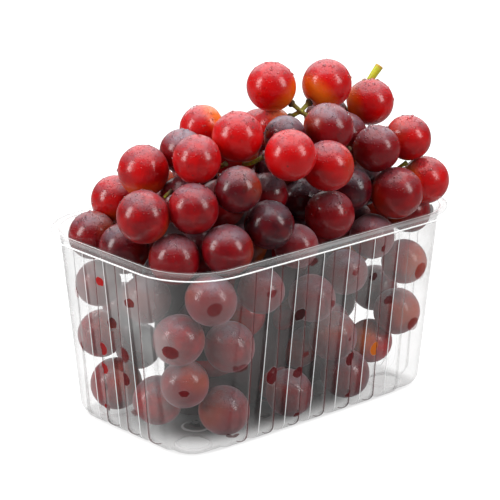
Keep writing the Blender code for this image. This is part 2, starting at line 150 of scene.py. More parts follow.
# ---------------------------------------------------------------------------- finishes
class Finish:
    """A node material with a Principled shader and short calls to add nodes."""

    def __init__(self, name: str) -> None:
        """Make the material.

        Args:
            name: the material's name.
        """
        self.material = bpy.data.materials.new(name)
        self.material.use_nodes = True
        self.tree = self.material.node_tree
        self.shader = self.tree.nodes["Principled BSDF"]

    def put(self, socket: Socket, value: object) -> None:
        """Set a constant or link a node's output to one of the shader's sockets."""
        target = self.shader.inputs[socket.value]
        if isinstance(value, Output):
            self.tree.links.new(value, target)
        else:
            target.default_value = value

    def node(self, kind: str, **settings: object) -> bpy.types.Node:
        """Add a node.

        Args:
            kind: the node's type name without its common start.
            settings: properties of the node.

        Returns:
            The node.
        """
        made = self.tree.nodes.new("ShaderNode" + kind)
        for key, value in settings.items():
            setattr(made, key, value)
        return made

    def feed(self, target: Output, value: object) -> None:
        """Set or link one input."""
        if isinstance(value, Output):
            self.tree.links.new(value, target)
        else:
            target.default_value = value

    def value(self, name: str) -> Output:
        """Return a mesh attribute as a number."""
        return self.node("Attribute", attribute_name=name).outputs["Fac"]

    def place(self) -> Output:
        """Return the object's own coordinates, in metres."""
        return self.node("TexCoord").outputs["Object"]

    def maths(self, operation: str, *values: object, clamp: bool = False) -> Output:
        """Return the result of a Math node.

        Args:
            operation: the node's operation.
            values: numbers or outputs.
            clamp: whether the result is held between 0 and 1.

        Returns:
            The result.
        """
        made = self.node("Math", operation=operation, use_clamp=clamp)
        for target, value in zip(made.inputs, values):
            self.feed(target, value)
        return made.outputs[0]

    def product(self, *values: object) -> Output:
        """Return the product of numbers or outputs."""
        return reduce(partial(self.maths, "MULTIPLY"), values)

    def greatest(self, *values: object) -> Output:
        """Return the greatest of numbers or outputs."""
        return reduce(partial(self.maths, "MAXIMUM"), values)

    def ramp(self, value: object, low: float, high: float, start: float = 0.0, end: float = 1.0,
             smooth: bool = True) -> Output:
        """Map a value and clamp it.

        Args:
            value: the number or output.
            low: the value that gives start.
            high: the value that gives end.
            start: the result at low.
            end: the result at high.
            smooth: whether the rise is soft at both ends.

        Returns:
            The mapped value.
        """
        made = self.node("MapRange", interpolation_type="SMOOTHSTEP" if smooth else "LINEAR")
        for target, number in zip(made.inputs, (value, low, high, start, end)):
            self.feed(target, number)
        return made.outputs[0]

    def blend(self, share: object, first: object, second: object) -> Output:
        """Mix two colours.

        Args:
            share: the second colour's share.
            first: a colour or an output.
            second: a colour or an output.

        Returns:
            The mixed colour.
        """
        made = self.node("Mix", data_type="RGBA")
        colours = [socket for socket in made.inputs if socket.type == "RGBA"]
        self.feed(made.inputs["Factor"], share)
        for target, colour in zip(colours, (first, second)):
            self.feed(target, (*colour, 1.0) if isinstance(colour, tuple) else colour)
        return next(socket for socket in made.outputs if socket.type == "RGBA")

    def cloud(self, scale: float, detail: float = 2.0, rough: float = 0.5, lean: float = 0.0) -> Output:
        """Make soft noise on the object's coordinates.

        Args:
            scale: waves a metre.
            detail: how many finer layers it has.
            rough: how strong they are.
            lean: how much it is bent.

        Returns:
            The noise, from 0 to 1.
        """
        made = self.node("TexNoise")
        self.feed(made.inputs["Vector"], self.place())
        made.inputs["Scale"].default_value = scale
        made.inputs["Detail"].default_value = detail
        made.inputs["Roughness"].default_value = rough
        made.inputs["Distortion"].default_value = lean
        return made.outputs["Fac"]

    def red_part(self, colour: Output) -> Output:
        """Return the red part of a colour."""
        parts = self.node("SeparateColor")
        self.feed(parts.inputs[0], colour)
        return parts.outputs[0]

    def relief(self, height: object, depth: float, strength: float = 1.0) -> Output:
        """Turn a height pattern into relief.

        Args:
            height: the pattern, from 0 to 1.
            depth: its depth in metres.
            strength: how strongly it shows.

        Returns:
            The bumped normal.
        """
        made = self.node("Bump")
        made.inputs["Strength"].default_value = strength
        made.inputs["Distance"].default_value = depth
        self.feed(made.inputs["Height"], height)
        return made.outputs["Normal"]


@dataclass(frozen=True)
class GrapeSkin:
    """Thin glossy skin over juicy flesh: red to maroon, orange at the stalk, with pale bloom that is
    strengthened on the tops as a painted highlight.
    """

    bright: Colour = (0.66, 0.0012, 0.0022)
    mid: Colour = (0.25, 0.0015, 0.005)
    dark: Colour = (0.038, 0.002, 0.007)
    stalk_end: Colour = (0.98, 0.20, 0.008)
    # colour of the pale bloom, and also of the painted highlight on the berries' tops
    bloom_and_highlight: Colour = (0.30, 0.24, 0.29)
    scar: Colour = (0.06, 0.02, 0.01)
    # how much the bloom colour is strengthened where the skin faces up: a painted highlight on the tops
    top_highlight_gain: float = 4.2
    speckle_scale: float = 2600.0
    patch_scale: float = 150.0
    drop_scale: float = 900.0
    grain_scale: float = 420.0
    relief_depth: float = 0.00036
    specular: float = 0.34
    flesh: float = 0.22
    flesh_tint: Colour = (1.0, 0.10, 0.07)
    flesh_depth: float = 0.003
    coat: float = 0.38
    coat_spread: float = 0.17
    sheen: float = 0.06
    sheen_spread: float = 0.30
    sheen_tint: Colour = (1.0, 0.80, 0.88)

    def make(self, name: str) -> Material:
        """Build the material.

        Args:
            name: the material's name.

        Returns:
            The material.
        """
        skin = Finish(name)
        ripe = skin.value("ripe")
        axial = skin.value("axial")
        up_facing = skin.value("up_facing")
        speckle = skin.cloud(self.speckle_scale)
        patch = skin.cloud(self.patch_scale, 3.0)
        ripe = skin.maths("ADD", ripe, skin.ramp(patch, 0.3, 0.7, -0.10, 0.10))
        colour = skin.blend(skin.ramp(ripe, 0.0, 0.5), self.bright, self.mid)
        colour = skin.blend(skin.ramp(ripe, 0.5, 1.0), colour, self.dark)
        turn = skin.product(skin.ramp(axial, -0.15, -0.85), skin.value("blush"))
        colour = skin.blend(turn, colour, self.stalk_end)
        colour = skin.blend(skin.ramp(axial, 0.998, 0.9995, 0.0, 0.7), colour, self.scar)
        # bloom, strengthened where the skin faces up: partly the real bloom, partly a painted highlight on
        # the tops
        bloom_and_highlight_share = skin.product(skin.value("bloom_and_highlight"), skin.ramp(patch, 0.25, 0.75, 0.3, 1.0),
                            skin.ramp(speckle, 0.3, 0.7, 0.5, 1.0),
                            skin.ramp(up_facing, 0.5, 1.0, 0.02, self.top_highlight_gain))
        skin.put(Socket.BASE, skin.blend(bloom_and_highlight_share, colour, self.bloom_and_highlight))
        skin.put(Socket.ROUGHNESS, skin.ramp(bloom_and_highlight_share, 0.0, 0.5, 0.27, 0.5))
        skin.put(Socket.SPECULAR, self.specular)
        skin.put(Socket.SUBSURFACE, self.flesh)
        skin.put(Socket.SUBSURFACE_RADIUS, self.flesh_tint)
        skin.put(Socket.SUBSURFACE_SCALE, self.flesh_depth)
        skin.put(Socket.COAT, self.coat)
        skin.put(Socket.COAT_ROUGHNESS, self.coat_spread)
        skin.put(Socket.SHEEN, self.sheen)
        skin.put(Socket.SHEEN_ROUGHNESS, self.sheen_spread)
        skin.put(Socket.SHEEN_TINT, (*self.sheen_tint, 1.0))
        skin.put(Socket.NORMAL, self.dewy(skin, up_facing))
        return skin.material

    def dewy(self, skin: Finish, up_facing: Output) -> Output:
        """Make the skin's fine relief, with tiny water drops where the skin faces up.

        Args:
            skin: the finish.
            up_facing: how much a point faces up; the drops lie where it is high.

        Returns:
            The bumped normal.
        """
        drops = skin.node("TexVoronoi")
        skin.feed(drops.inputs["Vector"], skin.place())
        drops.inputs["Scale"].default_value = self.drop_scale
        held = skin.maths("GREATER_THAN", skin.red_part(drops.outputs["Color"]), 0.2)
        drop = skin.product(skin.ramp(drops.outputs["Distance"], 0.42, 0.12), held,
                            skin.ramp(up_facing, 0.35, 0.8, 0.12, 1.0))
        height = skin.maths("ADD", drop, skin.product(skin.cloud(self.grain_scale, 3.0), 0.2))
        return skin.relief(height, self.relief_depth, 0.9)


@dataclass(frozen=True)
class Water:
    """Clear water in small beads."""

    def make(self, name: str) -> Material:
        """Build the material.

        Args:
            name: the material's name.

        Returns:
            The material.
        """
        water = Finish(name)
        water.put(Socket.BASE, (0.97, 0.98, 1.0, 1.0))
        water.put(Socket.ROUGHNESS, 0.03)
        water.put(Socket.IOR, 1.33)
        water.put(Socket.TRANSMISSION, 1.0)
        return water.material


@dataclass(frozen=True)
class HeapShade:
    """The dark inside of the heap, where hardly any light comes."""

    deep: Colour = (0.020, 0.002, 0.003)
    dim: Colour = (0.05, 0.006, 0.008)

    def make(self, name: str) -> Material:
        """Build the material.

        Args:
            name: the material's name.

        Returns:
            The material.
        """
        shade = Finish(name)
        shade.put(Socket.BASE, shade.blend(shade.cloud(90.0), self.deep, self.dim))
        shade.put(Socket.ROUGHNESS, 0.6)
        return shade.material


@dataclass(frozen=True)
class StalkBark:
    """Fresh green stalk that browns at its knobs and joints."""

    green: Colour = (0.60, 0.64, 0.03)
    olive: Colour = (0.20, 0.15, 0.022)
    brown: Colour = (0.055, 0.028, 0.010)
    cut: Colour = (0.62, 0.30, 0.06)

    def make(self, name: str) -> Material:
        """Build the material.

        Args:
            name: the material's name.

        Returns:
            The material.
        """
        bark = Finish(name)
        fibre = bark.cloud(900.0, 4.0, 0.6, 0.4)
        age = bark.maths("ADD", bark.value("age"), bark.ramp(fibre, 0.3, 0.7, -0.18, 0.18))
        colour = bark.blend(bark.ramp(age, 0.0, 0.5), self.green, self.olive)
        colour = bark.blend(bark.ramp(age, 0.5, 1.0), colour, self.brown)
        colour = bark.blend(bark.value("cut"), colour, self.cut)
        bark.put(Socket.BASE, colour)
        bark.put(Socket.ROUGHNESS, bark.ramp(age, 0.0, 1.0, 0.42, 0.75))
        bark.put(Socket.NORMAL, bark.relief(fibre, 0.00025, 0.7))
        return bark.material


class Face(Enum):
    """The two faces of the tray's sheet."""

    OUTER = "outer"
    INNER = "inner"


@dataclass(frozen=True)
class ClearSheet:
    """Thin clear plastic with a little mist, wet and clear where a berry touches it.

    It reads these attributes of the tray's points: line (a painted white highlight above 0, a painted
    dark-red refraction below 0, and dark spots with painted shade round the drains below -1), rim (0.5 on the
    skirt,
    1 on the flange), fog (how thick the mist lies), and wet, wipe and tone of the wet spots.
    """

    domes: tuple[tuple[tuple[float, float], float], ...]
    mist: Colour = (0.84, 0.85, 0.845)
    # darker mist on the flange: painted shade against the strong top light there
    shaded_rim_mist: Colour = (0.62, 0.61, 0.61)
    # painted shade: the grey that the sheet takes towards its edges and silhouettes, in place of refraction
    edge: Colour = (0.22, 0.225, 0.225)
    # painted highlight: the white of the lines along the rib steps, the rim and the domes' feet
    glint: Colour = (1.0, 1.0, 1.0)
    # painted dark-red refraction of the berries along the dark step of each rib
    shade: Colour = (0.20, 0.014, 0.02)
    # painted shade round the drains, and the colour of the dark spots on the floor
    spot_and_drain_shade: Colour = (0.015, 0.008, 0.008)
    touch: tuple[Colour, ...] = (
        (0.004, 0.001, 0.001), (0.17, 0.006, 0.010), (0.62, 0.008, 0.008), (0.85, 0.20, 0.01),
    )
    touch_tones: tuple[float, ...] = (0.0, 0.5, 1.0, 1.3)
    pale_touch: Colour = (0.42, 0.15, 0.15)
    haze: float = 0.17
    skirt_haze: float = 0.08
    flange_haze: float = 0.35
    edge_gloss: float = 0.5
    # the painted highlight lines also glow this much
    line_glow: float = 0.32
    least: float = 0.012
    wave_depth: float = 0.0009
    wave_scale: float = 60.0
    patch_scale: float = 35.0
    foot_line: tuple[float, float] = (0.0012, 0.0003)
    foot_height: tuple[float, float] = (0.0025, 0.0015)

    def make(self, name: str, face: Face) -> Material:
        """Build the material of one face of the sheet.

        Args:
            name: the material's name.
            face: the outer face carries the mist, the inner one only gloss.

        Returns:
            The material.
        """
        sheet = Finish(name)
        edge = sheet.node("LayerWeight")
        edge.inputs["Blend"].default_value = 0.5
        gloss = sheet.product(sheet.maths("POWER", edge.outputs["Facing"], 4.0), self.edge_gloss)
        wave = sheet.cloud(self.wave_scale, 2.0, 0.5, 0.3)
        sheet.put(Socket.NORMAL, sheet.relief(wave, self.wave_depth, 0.35))
        sheet.put(Socket.ROUGHNESS, 0.10)
        sheet.put(Socket.SPECULAR, 0.3)
        sheet.put(Socket.COAT, 0.15)
        sheet.put(Socket.COAT_ROUGHNESS, 0.04)
        sheet.put(Socket.IOR, 1.4)
        if face is Face.OUTER:
            self.dress_outer(sheet, gloss)
        else:
            sheet.put(Socket.BASE, (*self.mist, 1.0))
            sheet.put(Socket.ALPHA, sheet.greatest(sheet.product(gloss, 0.4), self.least))
        return sheet.material

    def dress_outer(self, sheet: Finish, gloss: Output) -> None:
        """Set colour, opacity and glow of the outer face, with its painted highlights, painted dark-red
        refraction and painted shade.

        Args:
            sheet: the finish.
            gloss: how opaque the sheet gets towards its edges.
        """
        line = sheet.value("line")
        # painted highlight: white lines along the rib steps and the rim, and rings round the domes' feet
        bright = sheet.greatest(sheet.ramp(line, 0.28, 0.52), sheet.product(self.dome_rings(sheet), 0.5))
        # painted dark-red refraction along the dark rib steps
        dark = sheet.ramp(line, -0.55, -0.85)
        # dark spots on the floor, and painted shade round each drain
        spot_and_drain_shade_share = sheet.ramp(line, -1.1, -1.5)
        misted = sheet.ramp(sheet.value("wet"), 0.94, 1.06)
        alpha = sheet.node("Mix", data_type="FLOAT")
        sheet.feed(alpha.inputs["Factor"], misted)
        sheet.feed(alpha.inputs["A"], sheet.ramp(sheet.value("wipe"), 0.35, 1.0, 0.36, 0.90, False))
        sheet.feed(alpha.inputs["B"], self.haze_share(sheet))
        sheet.put(Socket.ALPHA, sheet.greatest(alpha.outputs[0], gloss, sheet.product(bright, 0.95),
                                               sheet.product(dark, 0.75), sheet.product(spot_and_drain_shade_share, 0.85)))
        mist_with_painted_shade = sheet.blend(sheet.ramp(sheet.value("rim"), 0.5, 1.0), self.mist, self.shaded_rim_mist)
        # painted shade: greyer towards the sheet's edges and silhouettes
        mist_with_painted_shade = sheet.blend(sheet.maths("MULTIPLY", gloss, 3.0, clamp=True), mist_with_painted_shade, self.edge)
        colour = sheet.blend(misted, self.contact(sheet), mist_with_painted_shade)
        for share, tint in ((bright, self.glint), (dark, self.shade), (spot_and_drain_shade_share, self.spot_and_drain_shade)):
            colour = sheet.blend(share, colour, tint)
        sheet.put(Socket.BASE, colour)
        # the painted highlight lines glow a little, though they are no lamp
        sheet.put(Socket.EMISSION, (*self.glint, 1.0))
        sheet.put(Socket.EMISSION_STRENGTH, sheet.product(bright, self.line_glow))

    def haze_share(self, sheet: Finish) -> Output:
        """Make the mist: patchy, thin on the skirt and thicker on the flange.

        Args:
            sheet: the finish.

        Returns:
            How opaque it is.
        """
        rim = sheet.value("rim")
        patchy = sheet.ramp(sheet.cloud(self.patch_scale, 3.0, 0.55), 0.3, 0.7, 0.86, 1.12)
        wall = sheet.ramp(rim, 0.0, 0.5, self.haze, self.skirt_haze)
        flange = sheet.ramp(rim, 0.5, 1.0, 0.0, self.flange_haze)
        fog = sheet.ramp(sheet.value("fog"), 0.0, 3.0, 0.5, 2.6, False)
        return sheet.product(patchy, sheet.greatest(wall, flange), fog)

    def contact(self, sheet: Finish) -> Output:
        """Colour the wet spots by their tone, and paler where they are less wiped.

        Args:
            sheet: the finish.

        Returns:
            The colour, from nearly black by red to orange.
        """
        tone = sheet.value("tone")
        colour = self.touch[0]
        for low, high, tint in zip(self.touch_tones, self.touch_tones[1:], self.touch[1:]):
            colour = sheet.blend(sheet.ramp(tone, low, high, smooth=False), colour, tint)
        return sheet.blend(sheet.ramp(sheet.value("wipe"), 0.4, 0.75, 0.4, 0.0), colour, self.pale_touch)

    def dome_rings(self, sheet: Finish) -> Output:
        """Mark the foot of each dome in the tray's floor, where a painted highlight ring goes.

        Args:
            sheet: the finish.

        Returns:
            1 along each foot and 0 elsewhere.
        """
        place = sheet.node("SeparateXYZ")
        sheet.feed(place.inputs[0], sheet.place())
        along, across = (sheet.maths("ABSOLUTE", place.outputs[k]) for k in range(2))
        rings = []
        for (x, y), radius in self.domes:
            offsets = [sheet.maths("SUBTRACT", along, x * MM), sheet.maths("SUBTRACT", across, y * MM)]
            squares = [sheet.maths("POWER", offset, 2.0) for offset in offsets]
            away = sheet.maths("SQRT", sheet.maths("ADD", *squares))
            off = sheet.maths("ABSOLUTE", sheet.maths("SUBTRACT", away, radius * MM))
            rings.append(sheet.ramp(off, *self.foot_line))
        return sheet.product(sheet.greatest(*rings), sheet.ramp(place.outputs[2], *self.foot_height))


# ---------------------------------------------------------------------------- tray
@dataclass(frozen=True)
class Mist:
    """How thick the mist lies on the sheet: most at the left end, least round the near corner."""

    least: float = 0.4
    along: tuple[Triple, ...] = ((0.6, -28.0, 5.0), (0.45, 40.0, 65.0))
    left: float = 2.2
    left_end: tuple[float, float] = (75.0, 78.0)
    left_fade: tuple[float, float] = (-46.0, -26.0)
    low_share: float = 0.6
    high_gain: float = 0.8
    heights: tuple[float, float] = (30.0, 62.0)
    rim: float = 1.3
    rim_along: tuple[float, float] = (-45.0, -10.0)
    rim_across: tuple[float, float] = (-35.0, 0.0)
    rim_end_share: float = 0.6
    shelter: float = 0.4
    shelter_reach: tuple[float, float] = (1.0, 9.0)

    def on_rim(self, place: Vector) -> float:
        """Return the mist's thickness at a point of the rim."""
        end = self.rim_end_share * smoothstep(place.y, *self.rim_across)
        return self.rim * max(smoothstep(place.x, *self.rim_along), end)

    def on_wall(self, place: Vector, space: float) -> float:
        """Work out the mist's thickness at a point of the walls or the floor.

        Args:
            place: the point.
            space: how far it is from the nearest berry.

        Returns:
            The thickness, with 1 for an even mist.
        """
        left = smoothstep(-place.x, *self.left_end) * smoothstep(place.y, *self.left_fade)
        along = sum(gain * smoothstep(place.x, start, end) for gain, start, end in self.along)
        height = self.low_share + self.high_gain * smoothstep(place.z, *self.heights)
        near = self.shelter * smoothstep(space, *self.shelter_reach)
        return (self.least + along + self.left * left) * height * (1.0 - near)


@dataclass
class Tray:
    """The clear tray: ribbed walls, a rolled rim, four corner buttons and four drains."""

    height: float = 94.0
    wall: float = 0.6
    rim_half: tuple[float, float] = (87.2, 54.8)
    rim_corner: float = 26.8
    facets: int = 4
    base_half: tuple[float, float] = (77.0, 44.0)
    base_corner: float = 12.0
    base_round: float = 5.5
    flange: float = 4.1
    skirt_drop: float = 2.8
    skirt_flare: float = 1.1
    rib_pitch: tuple[float, float] = (16.3, 15.4)
    rib_count: tuple[int, int] = (7, 4)
    rib_width: tuple[float, float] = (9.5, 6.6)
    rib_depth: tuple[float, float] = (2.8, 0.8)
    rib_side: float = 0.9
    rib_top: float = 88.0
    rib_foot_loss: float = 0.45
    button: tuple[float, float] = (62.0, 29.0)
    button_radius: float = 8.5
    button_rise: float = 4.0
    drain: tuple[float, float] = (47.0, 13.0)
    drain_radius: float = 6.5
    drain_rise: float = 2.0
    drain_hole: float = 1.9
    drain_lip: float = 0.25
    corner_steps: int = 16
    wall_rings: int = 44
    floor_rings: int = 24
    bend_rings: int = 8
    rib_end: tuple[float, ...] = (-0.6, 0.3, 1.0, 1.8)
    neck: float = 1.3
    # neck_lines and roll_lines: painted highlight lines across the rim's neck and roll
    neck_lines: tuple[float, ...] = (0.0, 0.0, 0.2, 0.8, 1.0, 1.0)
    roll: float = 0.9
    roll_lines: tuple[float, ...] = (0.0, 0.05, 0.2, 0.25, 0.1, 0.0)
    touch_reach: float = 2.2
    touch_size: tuple[float, float] = (2.0, 3.4)
    # the painted highlight and refraction lines are weaker on the two far walls
    far_line: float = 0.4
    mist: Mist = Mist()
    step_place: tuple[float, ...] = (1.0, 0.72, 0.5, 0.28, 0.0, -0.35, -0.8)
    step_rise: tuple[float, ...] = (0.0, 0.1, 0.5, 0.9, 1.0, 1.0, 1.0)
    # line values across a rib's bright step, for the painted highlight
    highlight_step: tuple[float, ...] = (0.0, 0.0, 0.0, 0.0, 1.0, 0.0, 0.0)
    # line values across a rib's dark step, for the painted dark-red refraction
    dark_refraction_step: tuple[float, ...] = (0.0, -0.2, -0.7, -1.0, -1.0, -1.0, 0.0)
    seed: int = 11
    # x, y, z, width and height of each wet spot, how much it is wiped clear, and its tone
    wet_spots: tuple = (
        (-85.8, 8.0, 76.8, 6.5, 5.4, 1.0, 0.95), (-84.5, 27.8, 65.4, 5.1, 6.0, 0.45, 0.55),
        (-85.2, -12.2, 71.1, 6.4, 4.6, 0.4, 0.5), (-83.6, 2.8, 56.9, 5.7, 5.6, 0.5, 0.35),
        (-67.9, -52.1, 74.3, 8.2, 7.0, 0.4, 0.5), (-81.9, -36.7, 52.7, 9.4, 6.5, 0.55, 0.5),
        (-81.4, 28.1, 37.9, 5.5, 5.0, 0.65, 0.6), (-81.8, 11.0, 42.0, 8.6, 7.4, 1.0, 0.75),
        (-82.0, -5.4, 43.4, 8.6, 8.7, 0.6, 0.55), (-81.2, 1.3, 36.3, 7.2, 7.2, 0.4, 0.4),
        (-80.7, 11.6, 31.8, 8.6, 6.6, 0.9, 0.8), (-80.6, -4.6, 30.9, 8.8, 7.8, 1.0, 0.4),
        (-79.5, 11.9, 21.3, 5.4, 4.2, 0.7, 0.5), (-77.3, -41.0, 32.7, 5.7, 3.6, 0.75, 0.5),
        (-50.5, -49.0, 41.5, 9.1, 4.3, 0.4, 0.5), (-78.8, -8.9, 15.1, 7.6, 5.2, 0.55, 0.5),
        (-78.2, 14.6, 10.0, 7.2, 2.8, 0.9, 0.7), (-51.6, -44.9, 7.2, 7.9, 3.3, 0.8, 0.35),
        (-16.3, -51.3, 60.2, 8.2, 7.0, 1.0, 0.1), (-31.4, -48.0, 32.9, 8.2, 11.6, 0.9, 0.45),
        (-14.8, -47.7, 30.2, 8.2, 7.2, 0.95, 0.4), (19.7, -47.5, 28.4, 8.4, 8.4, 1.0, 0.4),
        (35.6, -47.6, 29.9, 8.2, 8.6, 0.9, 1.35), (20.4, -45.1, 9.3, 7.8, 4.0, 0.85, 0.4),
        (-13.3, -45.0, 7.9, 8.2, 3.3, 0.85, 0.35), (-9.3, -54.3, 84.9, 6.0, 4.2, 0.4, 0.5),
        (-34.5, -53.1, 75.1, 6.2, 4.2, 0.4, 0.5), (17.8, -53.0, 74.0, 5.4, 4.6, 0.45, 0.5),
        (5.4, -51.3, 59.9, 4.2, 4.6, 0.4, 0.5), (63.8, -51.6, 63.4, 8.0, 9.0, 0.5, 0.65),
        (43.1, -50.4, 53.0, 6.2, 4.6, 0.6, 0.35), (62.5, -48.3, 35.5, 7.6, 7.0, 0.6, 0.6),
        (33.7, -48.7, 38.9, 4.0, 3.6, 0.55, 0.2), (17.2, -48.8, 39.3, 5.2, 5.0, 0.6, 0.5),
        (-8.5, -48.6, 37.4, 4.6, 3.6, 0.55, 0.5), (15.0, -45.9, 15.5, 6.0, 3.6, 0.55, 0.4),
        (35.5, -53.9, 81.9, 4.6, 4.0, 0.85, 0.4), (30.6, -52.9, 68.6, 5.0, 4.4, 0.7, 0.2),
    )
    # x, y, half-length and half-width of each dark spot on the floor
    floor_spots: tuple = ((-12.5, -24.5, 3.2, 1.7), (25.0, -21.0, 3.0, 1.6))

    def half_at(self, height: float) -> tuple[tuple[float, float], float]:
        """Return the outer face's half-lengths and corner radius at a height."""
        share = height / self.height
        half = tuple(b + (r + self.wall - b) * share for b, r in zip(self.base_half, self.rim_half))
        return half, self.base_corner + (self.rim_corner + self.wall - self.base_corner) * share

    def dome_feet(self) -> tuple[tuple[tuple[float, float], float], ...]:
        """Return place and radius of the painted highlight ring round a button's foot and round a drain's."""
        return (self.button, self.button_radius - 0.1), (self.drain, self.drain_radius - 0.1)

    def domes(self) -> list[tuple[float, float, float, float]]:
        """List the domes in the floor.

        Returns:
            The x, y, radius and rise of each.
        """
        kinds = (
            (self.button, self.button_radius, self.button_rise),
            (self.drain, self.drain_radius, self.drain_rise),
        )
        return [(sx * spot[0], sy * spot[1], radius, rise)
                for spot, radius, rise in kinds for sx in (-1, 1) for sy in (-1, 1)]

    def rib_size(self, height: float) -> tuple[float, float]:
        """Work out a rib's section, which fades out under the rim and at the foot.

        Args:
            height: the height above the floor.

        Returns:
            The rib's width and depth.
        """
        share = min(max(height / self.rib_top, 0.0), 1.0)
        width = self.rib_width[0] + (self.rib_width[1] - self.rib_width[0]) * share
        depth = self.rib_depth[0] + (self.rib_depth[1] - self.rib_depth[0]) * share
        depth *= 1.0 - smoothstep(height, self.rib_top - 1.0, self.rib_top + 1.6)
        if height < self.base_round:
            depth *= 1.0 - self.rib_foot_loss * (1.0 - height / self.base_round) ** 2
        return width, depth

    def wall_points(self, side: int, height: float, sign: int) -> tuple[list[Triple], float]:
        """Return the points along a wall as place, depth and edge line, from its low end up.

        Args:
            side: 0 for a long wall, 1 for a short wall.
            height: the height above the floor.
            sign: 1 where the low side of a rib carries the painted highlight, -1 where the high side does.

        Returns:
            A list of (along, outward, line), with line above 0 for a painted highlight on the bright step of
            each rib and below 0 for a painted dark-red refraction on its dark one, and where the last point
            lies.
        """
        width, depth = self.rib_size(height)
        shown = smoothstep(depth, 0.05, 0.5)
        points = []
        first = -(self.rib_count[side] - 1) / 2
        for k in range(self.rib_count[side]):
            middle = (first + k) * self.rib_pitch[side]
            if k:
                for aside in (-1.3, 1.3):
                    points.append((middle - self.rib_pitch[side] / 2 + aside, 0.0, 0.0))
            for way in (-1, 1):
                lines = self.highlight_step if way * sign < 0 else self.dark_refraction_step
                step = list(zip(self.step_place, self.step_rise, lines))
                if (k == 0 and way < 0) or (k == self.rib_count[side] - 1 and way > 0):
                    step = [(beyond, out, 0.0) for beyond, out, _ in step]
                if way > 0:
                    points += [(middle + share * width / 2, depth, 0.0) for share in (-0.45, 0.45)]
                    step.reverse()
                for beyond, out, line in step:
                    along = middle + way * (width / 2 + beyond * self.rib_side)
                    points.append((along, out * depth, line * shown))
        return points, points[-1][0]

    def ring(self, half: list[float], corner: float, height: float, rib_height: float) -> Ring:
        """Return one ring round the tray as points with their edge lines.

        Args:
            half: half the ring's length and half its width.
            corner: its corner radius.
            height: where the ring lies.
            rib_height: the height that sets the ribs' size.

        Returns:
            Points in order round the tray.
        """
        made = []
        for quarter in range(4):
            reach, across = (half[0], half[1]) if quarter % 2 == 0 else (half[1], half[0])
            spin = Matrix.Rotation(quarter * math.pi / 2, 2)
            middle = Vector((reach - corner, across - corner))
            for step in range(self.corner_steps + 1):
                angle = step / self.corner_steps * math.pi / 2
                way = Vector((math.cos(angle), math.sin(angle)))
                made.append((spin @ (middle + corner * way), 0.0))
            points, end = self.wall_points(quarter % 2, rib_height, 1 if quarter in (0, 1) else -1)
            start = reach - corner
            run = [(end + (start - end) * share, 0.0, 0.0) for share in (0.75, 0.5, 0.25)]
            run += list(reversed(points)) + [(-along, out, 0.0) for along, out, _ in reversed(run)]
            strength = 1.0 if quarter in (1, 2) else self.far_line
            for along, out, line in run:
                made.append((spin @ Vector((along, across + out)), line * strength))
        return [(Vector((point.x, point.y, height)), line) for point, line in made]

    def floor_height(self, x: float, y: float) -> float:
        """Work out how far the buttons and drains raise the floor.

        Args:
            x: the point's place along the tray.
            y: its place across the tray.

        Returns:
            The rise.
        """
        raised = 0.0
        for dome_x, dome_y, radius, rise in self.domes():
            away = math.hypot(x - dome_x, y - dome_y)
            if away < radius:
                ball = (radius ** 2 + rise ** 2) / (2 * rise)
                raised = max(raised, rise - ball + math.sqrt(ball ** 2 - away ** 2))
        return raised

    def floor_line(self, x: float, y: float) -> float:
        """Work out the edge line on the floor.

        Args:
            x: the point's place along the tray.
            y: its place across the tray.

        Returns:
            -2 on the dark spots of the floor and, as painted shade, round each drain, and 0 elsewhere.
        """
        for spot_x, spot_y, long, wide in self.floor_spots:
            if math.hypot((x - spot_x) / long, (y - spot_y) / wide) < 1.0:
                return -2.0
        near = math.hypot(abs(x) - self.drain[0], abs(y) - self.drain[1])
        return -2.0 if near < self.drain_hole + 1.0 else 0.0

    def rings(self) -> Iterator[Ring]:
        """Make the rings of the outer face, one by one.

        Returns:
            The rings from the middle of the floor to the skirt's edge.
        """
        yield from self.floor_part()
        for k in range(self.bend_rings):
            turn = math.radians(90.0 * (1.0 - k / (self.bend_rings - 1)))
            height = self.base_round * (1.0 - math.sin(turn))
            inset = self.base_round * (1.0 - math.cos(turn))
            half, corner = self.half_at(height)
            yield self.ring([h - inset for h in half], corner - inset, height, height)
        for k in range(1, self.wall_rings + 1):
            height = self.base_round + (self.rib_top - 1.5 - self.base_round) * k / self.wall_rings
            yield self.ring(*self.half_at(height), height, height)
        for beyond in self.rib_end:
            height = self.rib_top + beyond
            yield self.ring(*self.half_at(height), height, height)
        top = self.height - self.wall
        half, corner = self.half_at(top)
        for reach, height, line in self.rim_profile(top):
            ring = self.ring([h + reach for h in half], corner + reach, height, self.height)
            yield [(point, line) for point, _ in ring]

    def floor_part(self) -> Iterator[Ring]:
        """Make the rings of the floor, which take up the ribs' outline towards its edge.

        Returns:
            The rings from the middle of the floor outwards.
        """
        half, corner = self.half_at(0.0)
        foot = [h - self.base_round for h in half]
        ribbed = self.ring(foot, corner - self.base_round, 0.0, 0.0)
        plain = self.ring(foot, corner - self.base_round, 0.0, self.height)
        for k in range(self.floor_rings, 0, -1):
            inset = foot[1] * k / self.floor_rings
            scale = [(f - inset) / f for f in foot]
            fade = min(k / 3, 1.0)
            shaped = []
            for (point, _), (even, _) in zip(ribbed, plain):
                flat = point.lerp(even, fade)
                x, y = flat.x * scale[0], flat.y * scale[1]
                shaped.append((Vector((x, y, self.floor_height(x, y))), self.floor_line(x, y)))
            yield shaped

    def rim_share(self, height: float) -> float:
        """Return 1 on the rim's flange and roll, 0.5 on its skirt and 0 on the walls and the floor."""
        skirt = smoothstep(height, self.height - 3.6, self.height - 2.6)
        return 0.5 * skirt + 0.5 * smoothstep(height, self.height - 2.0, self.height - 1.2)

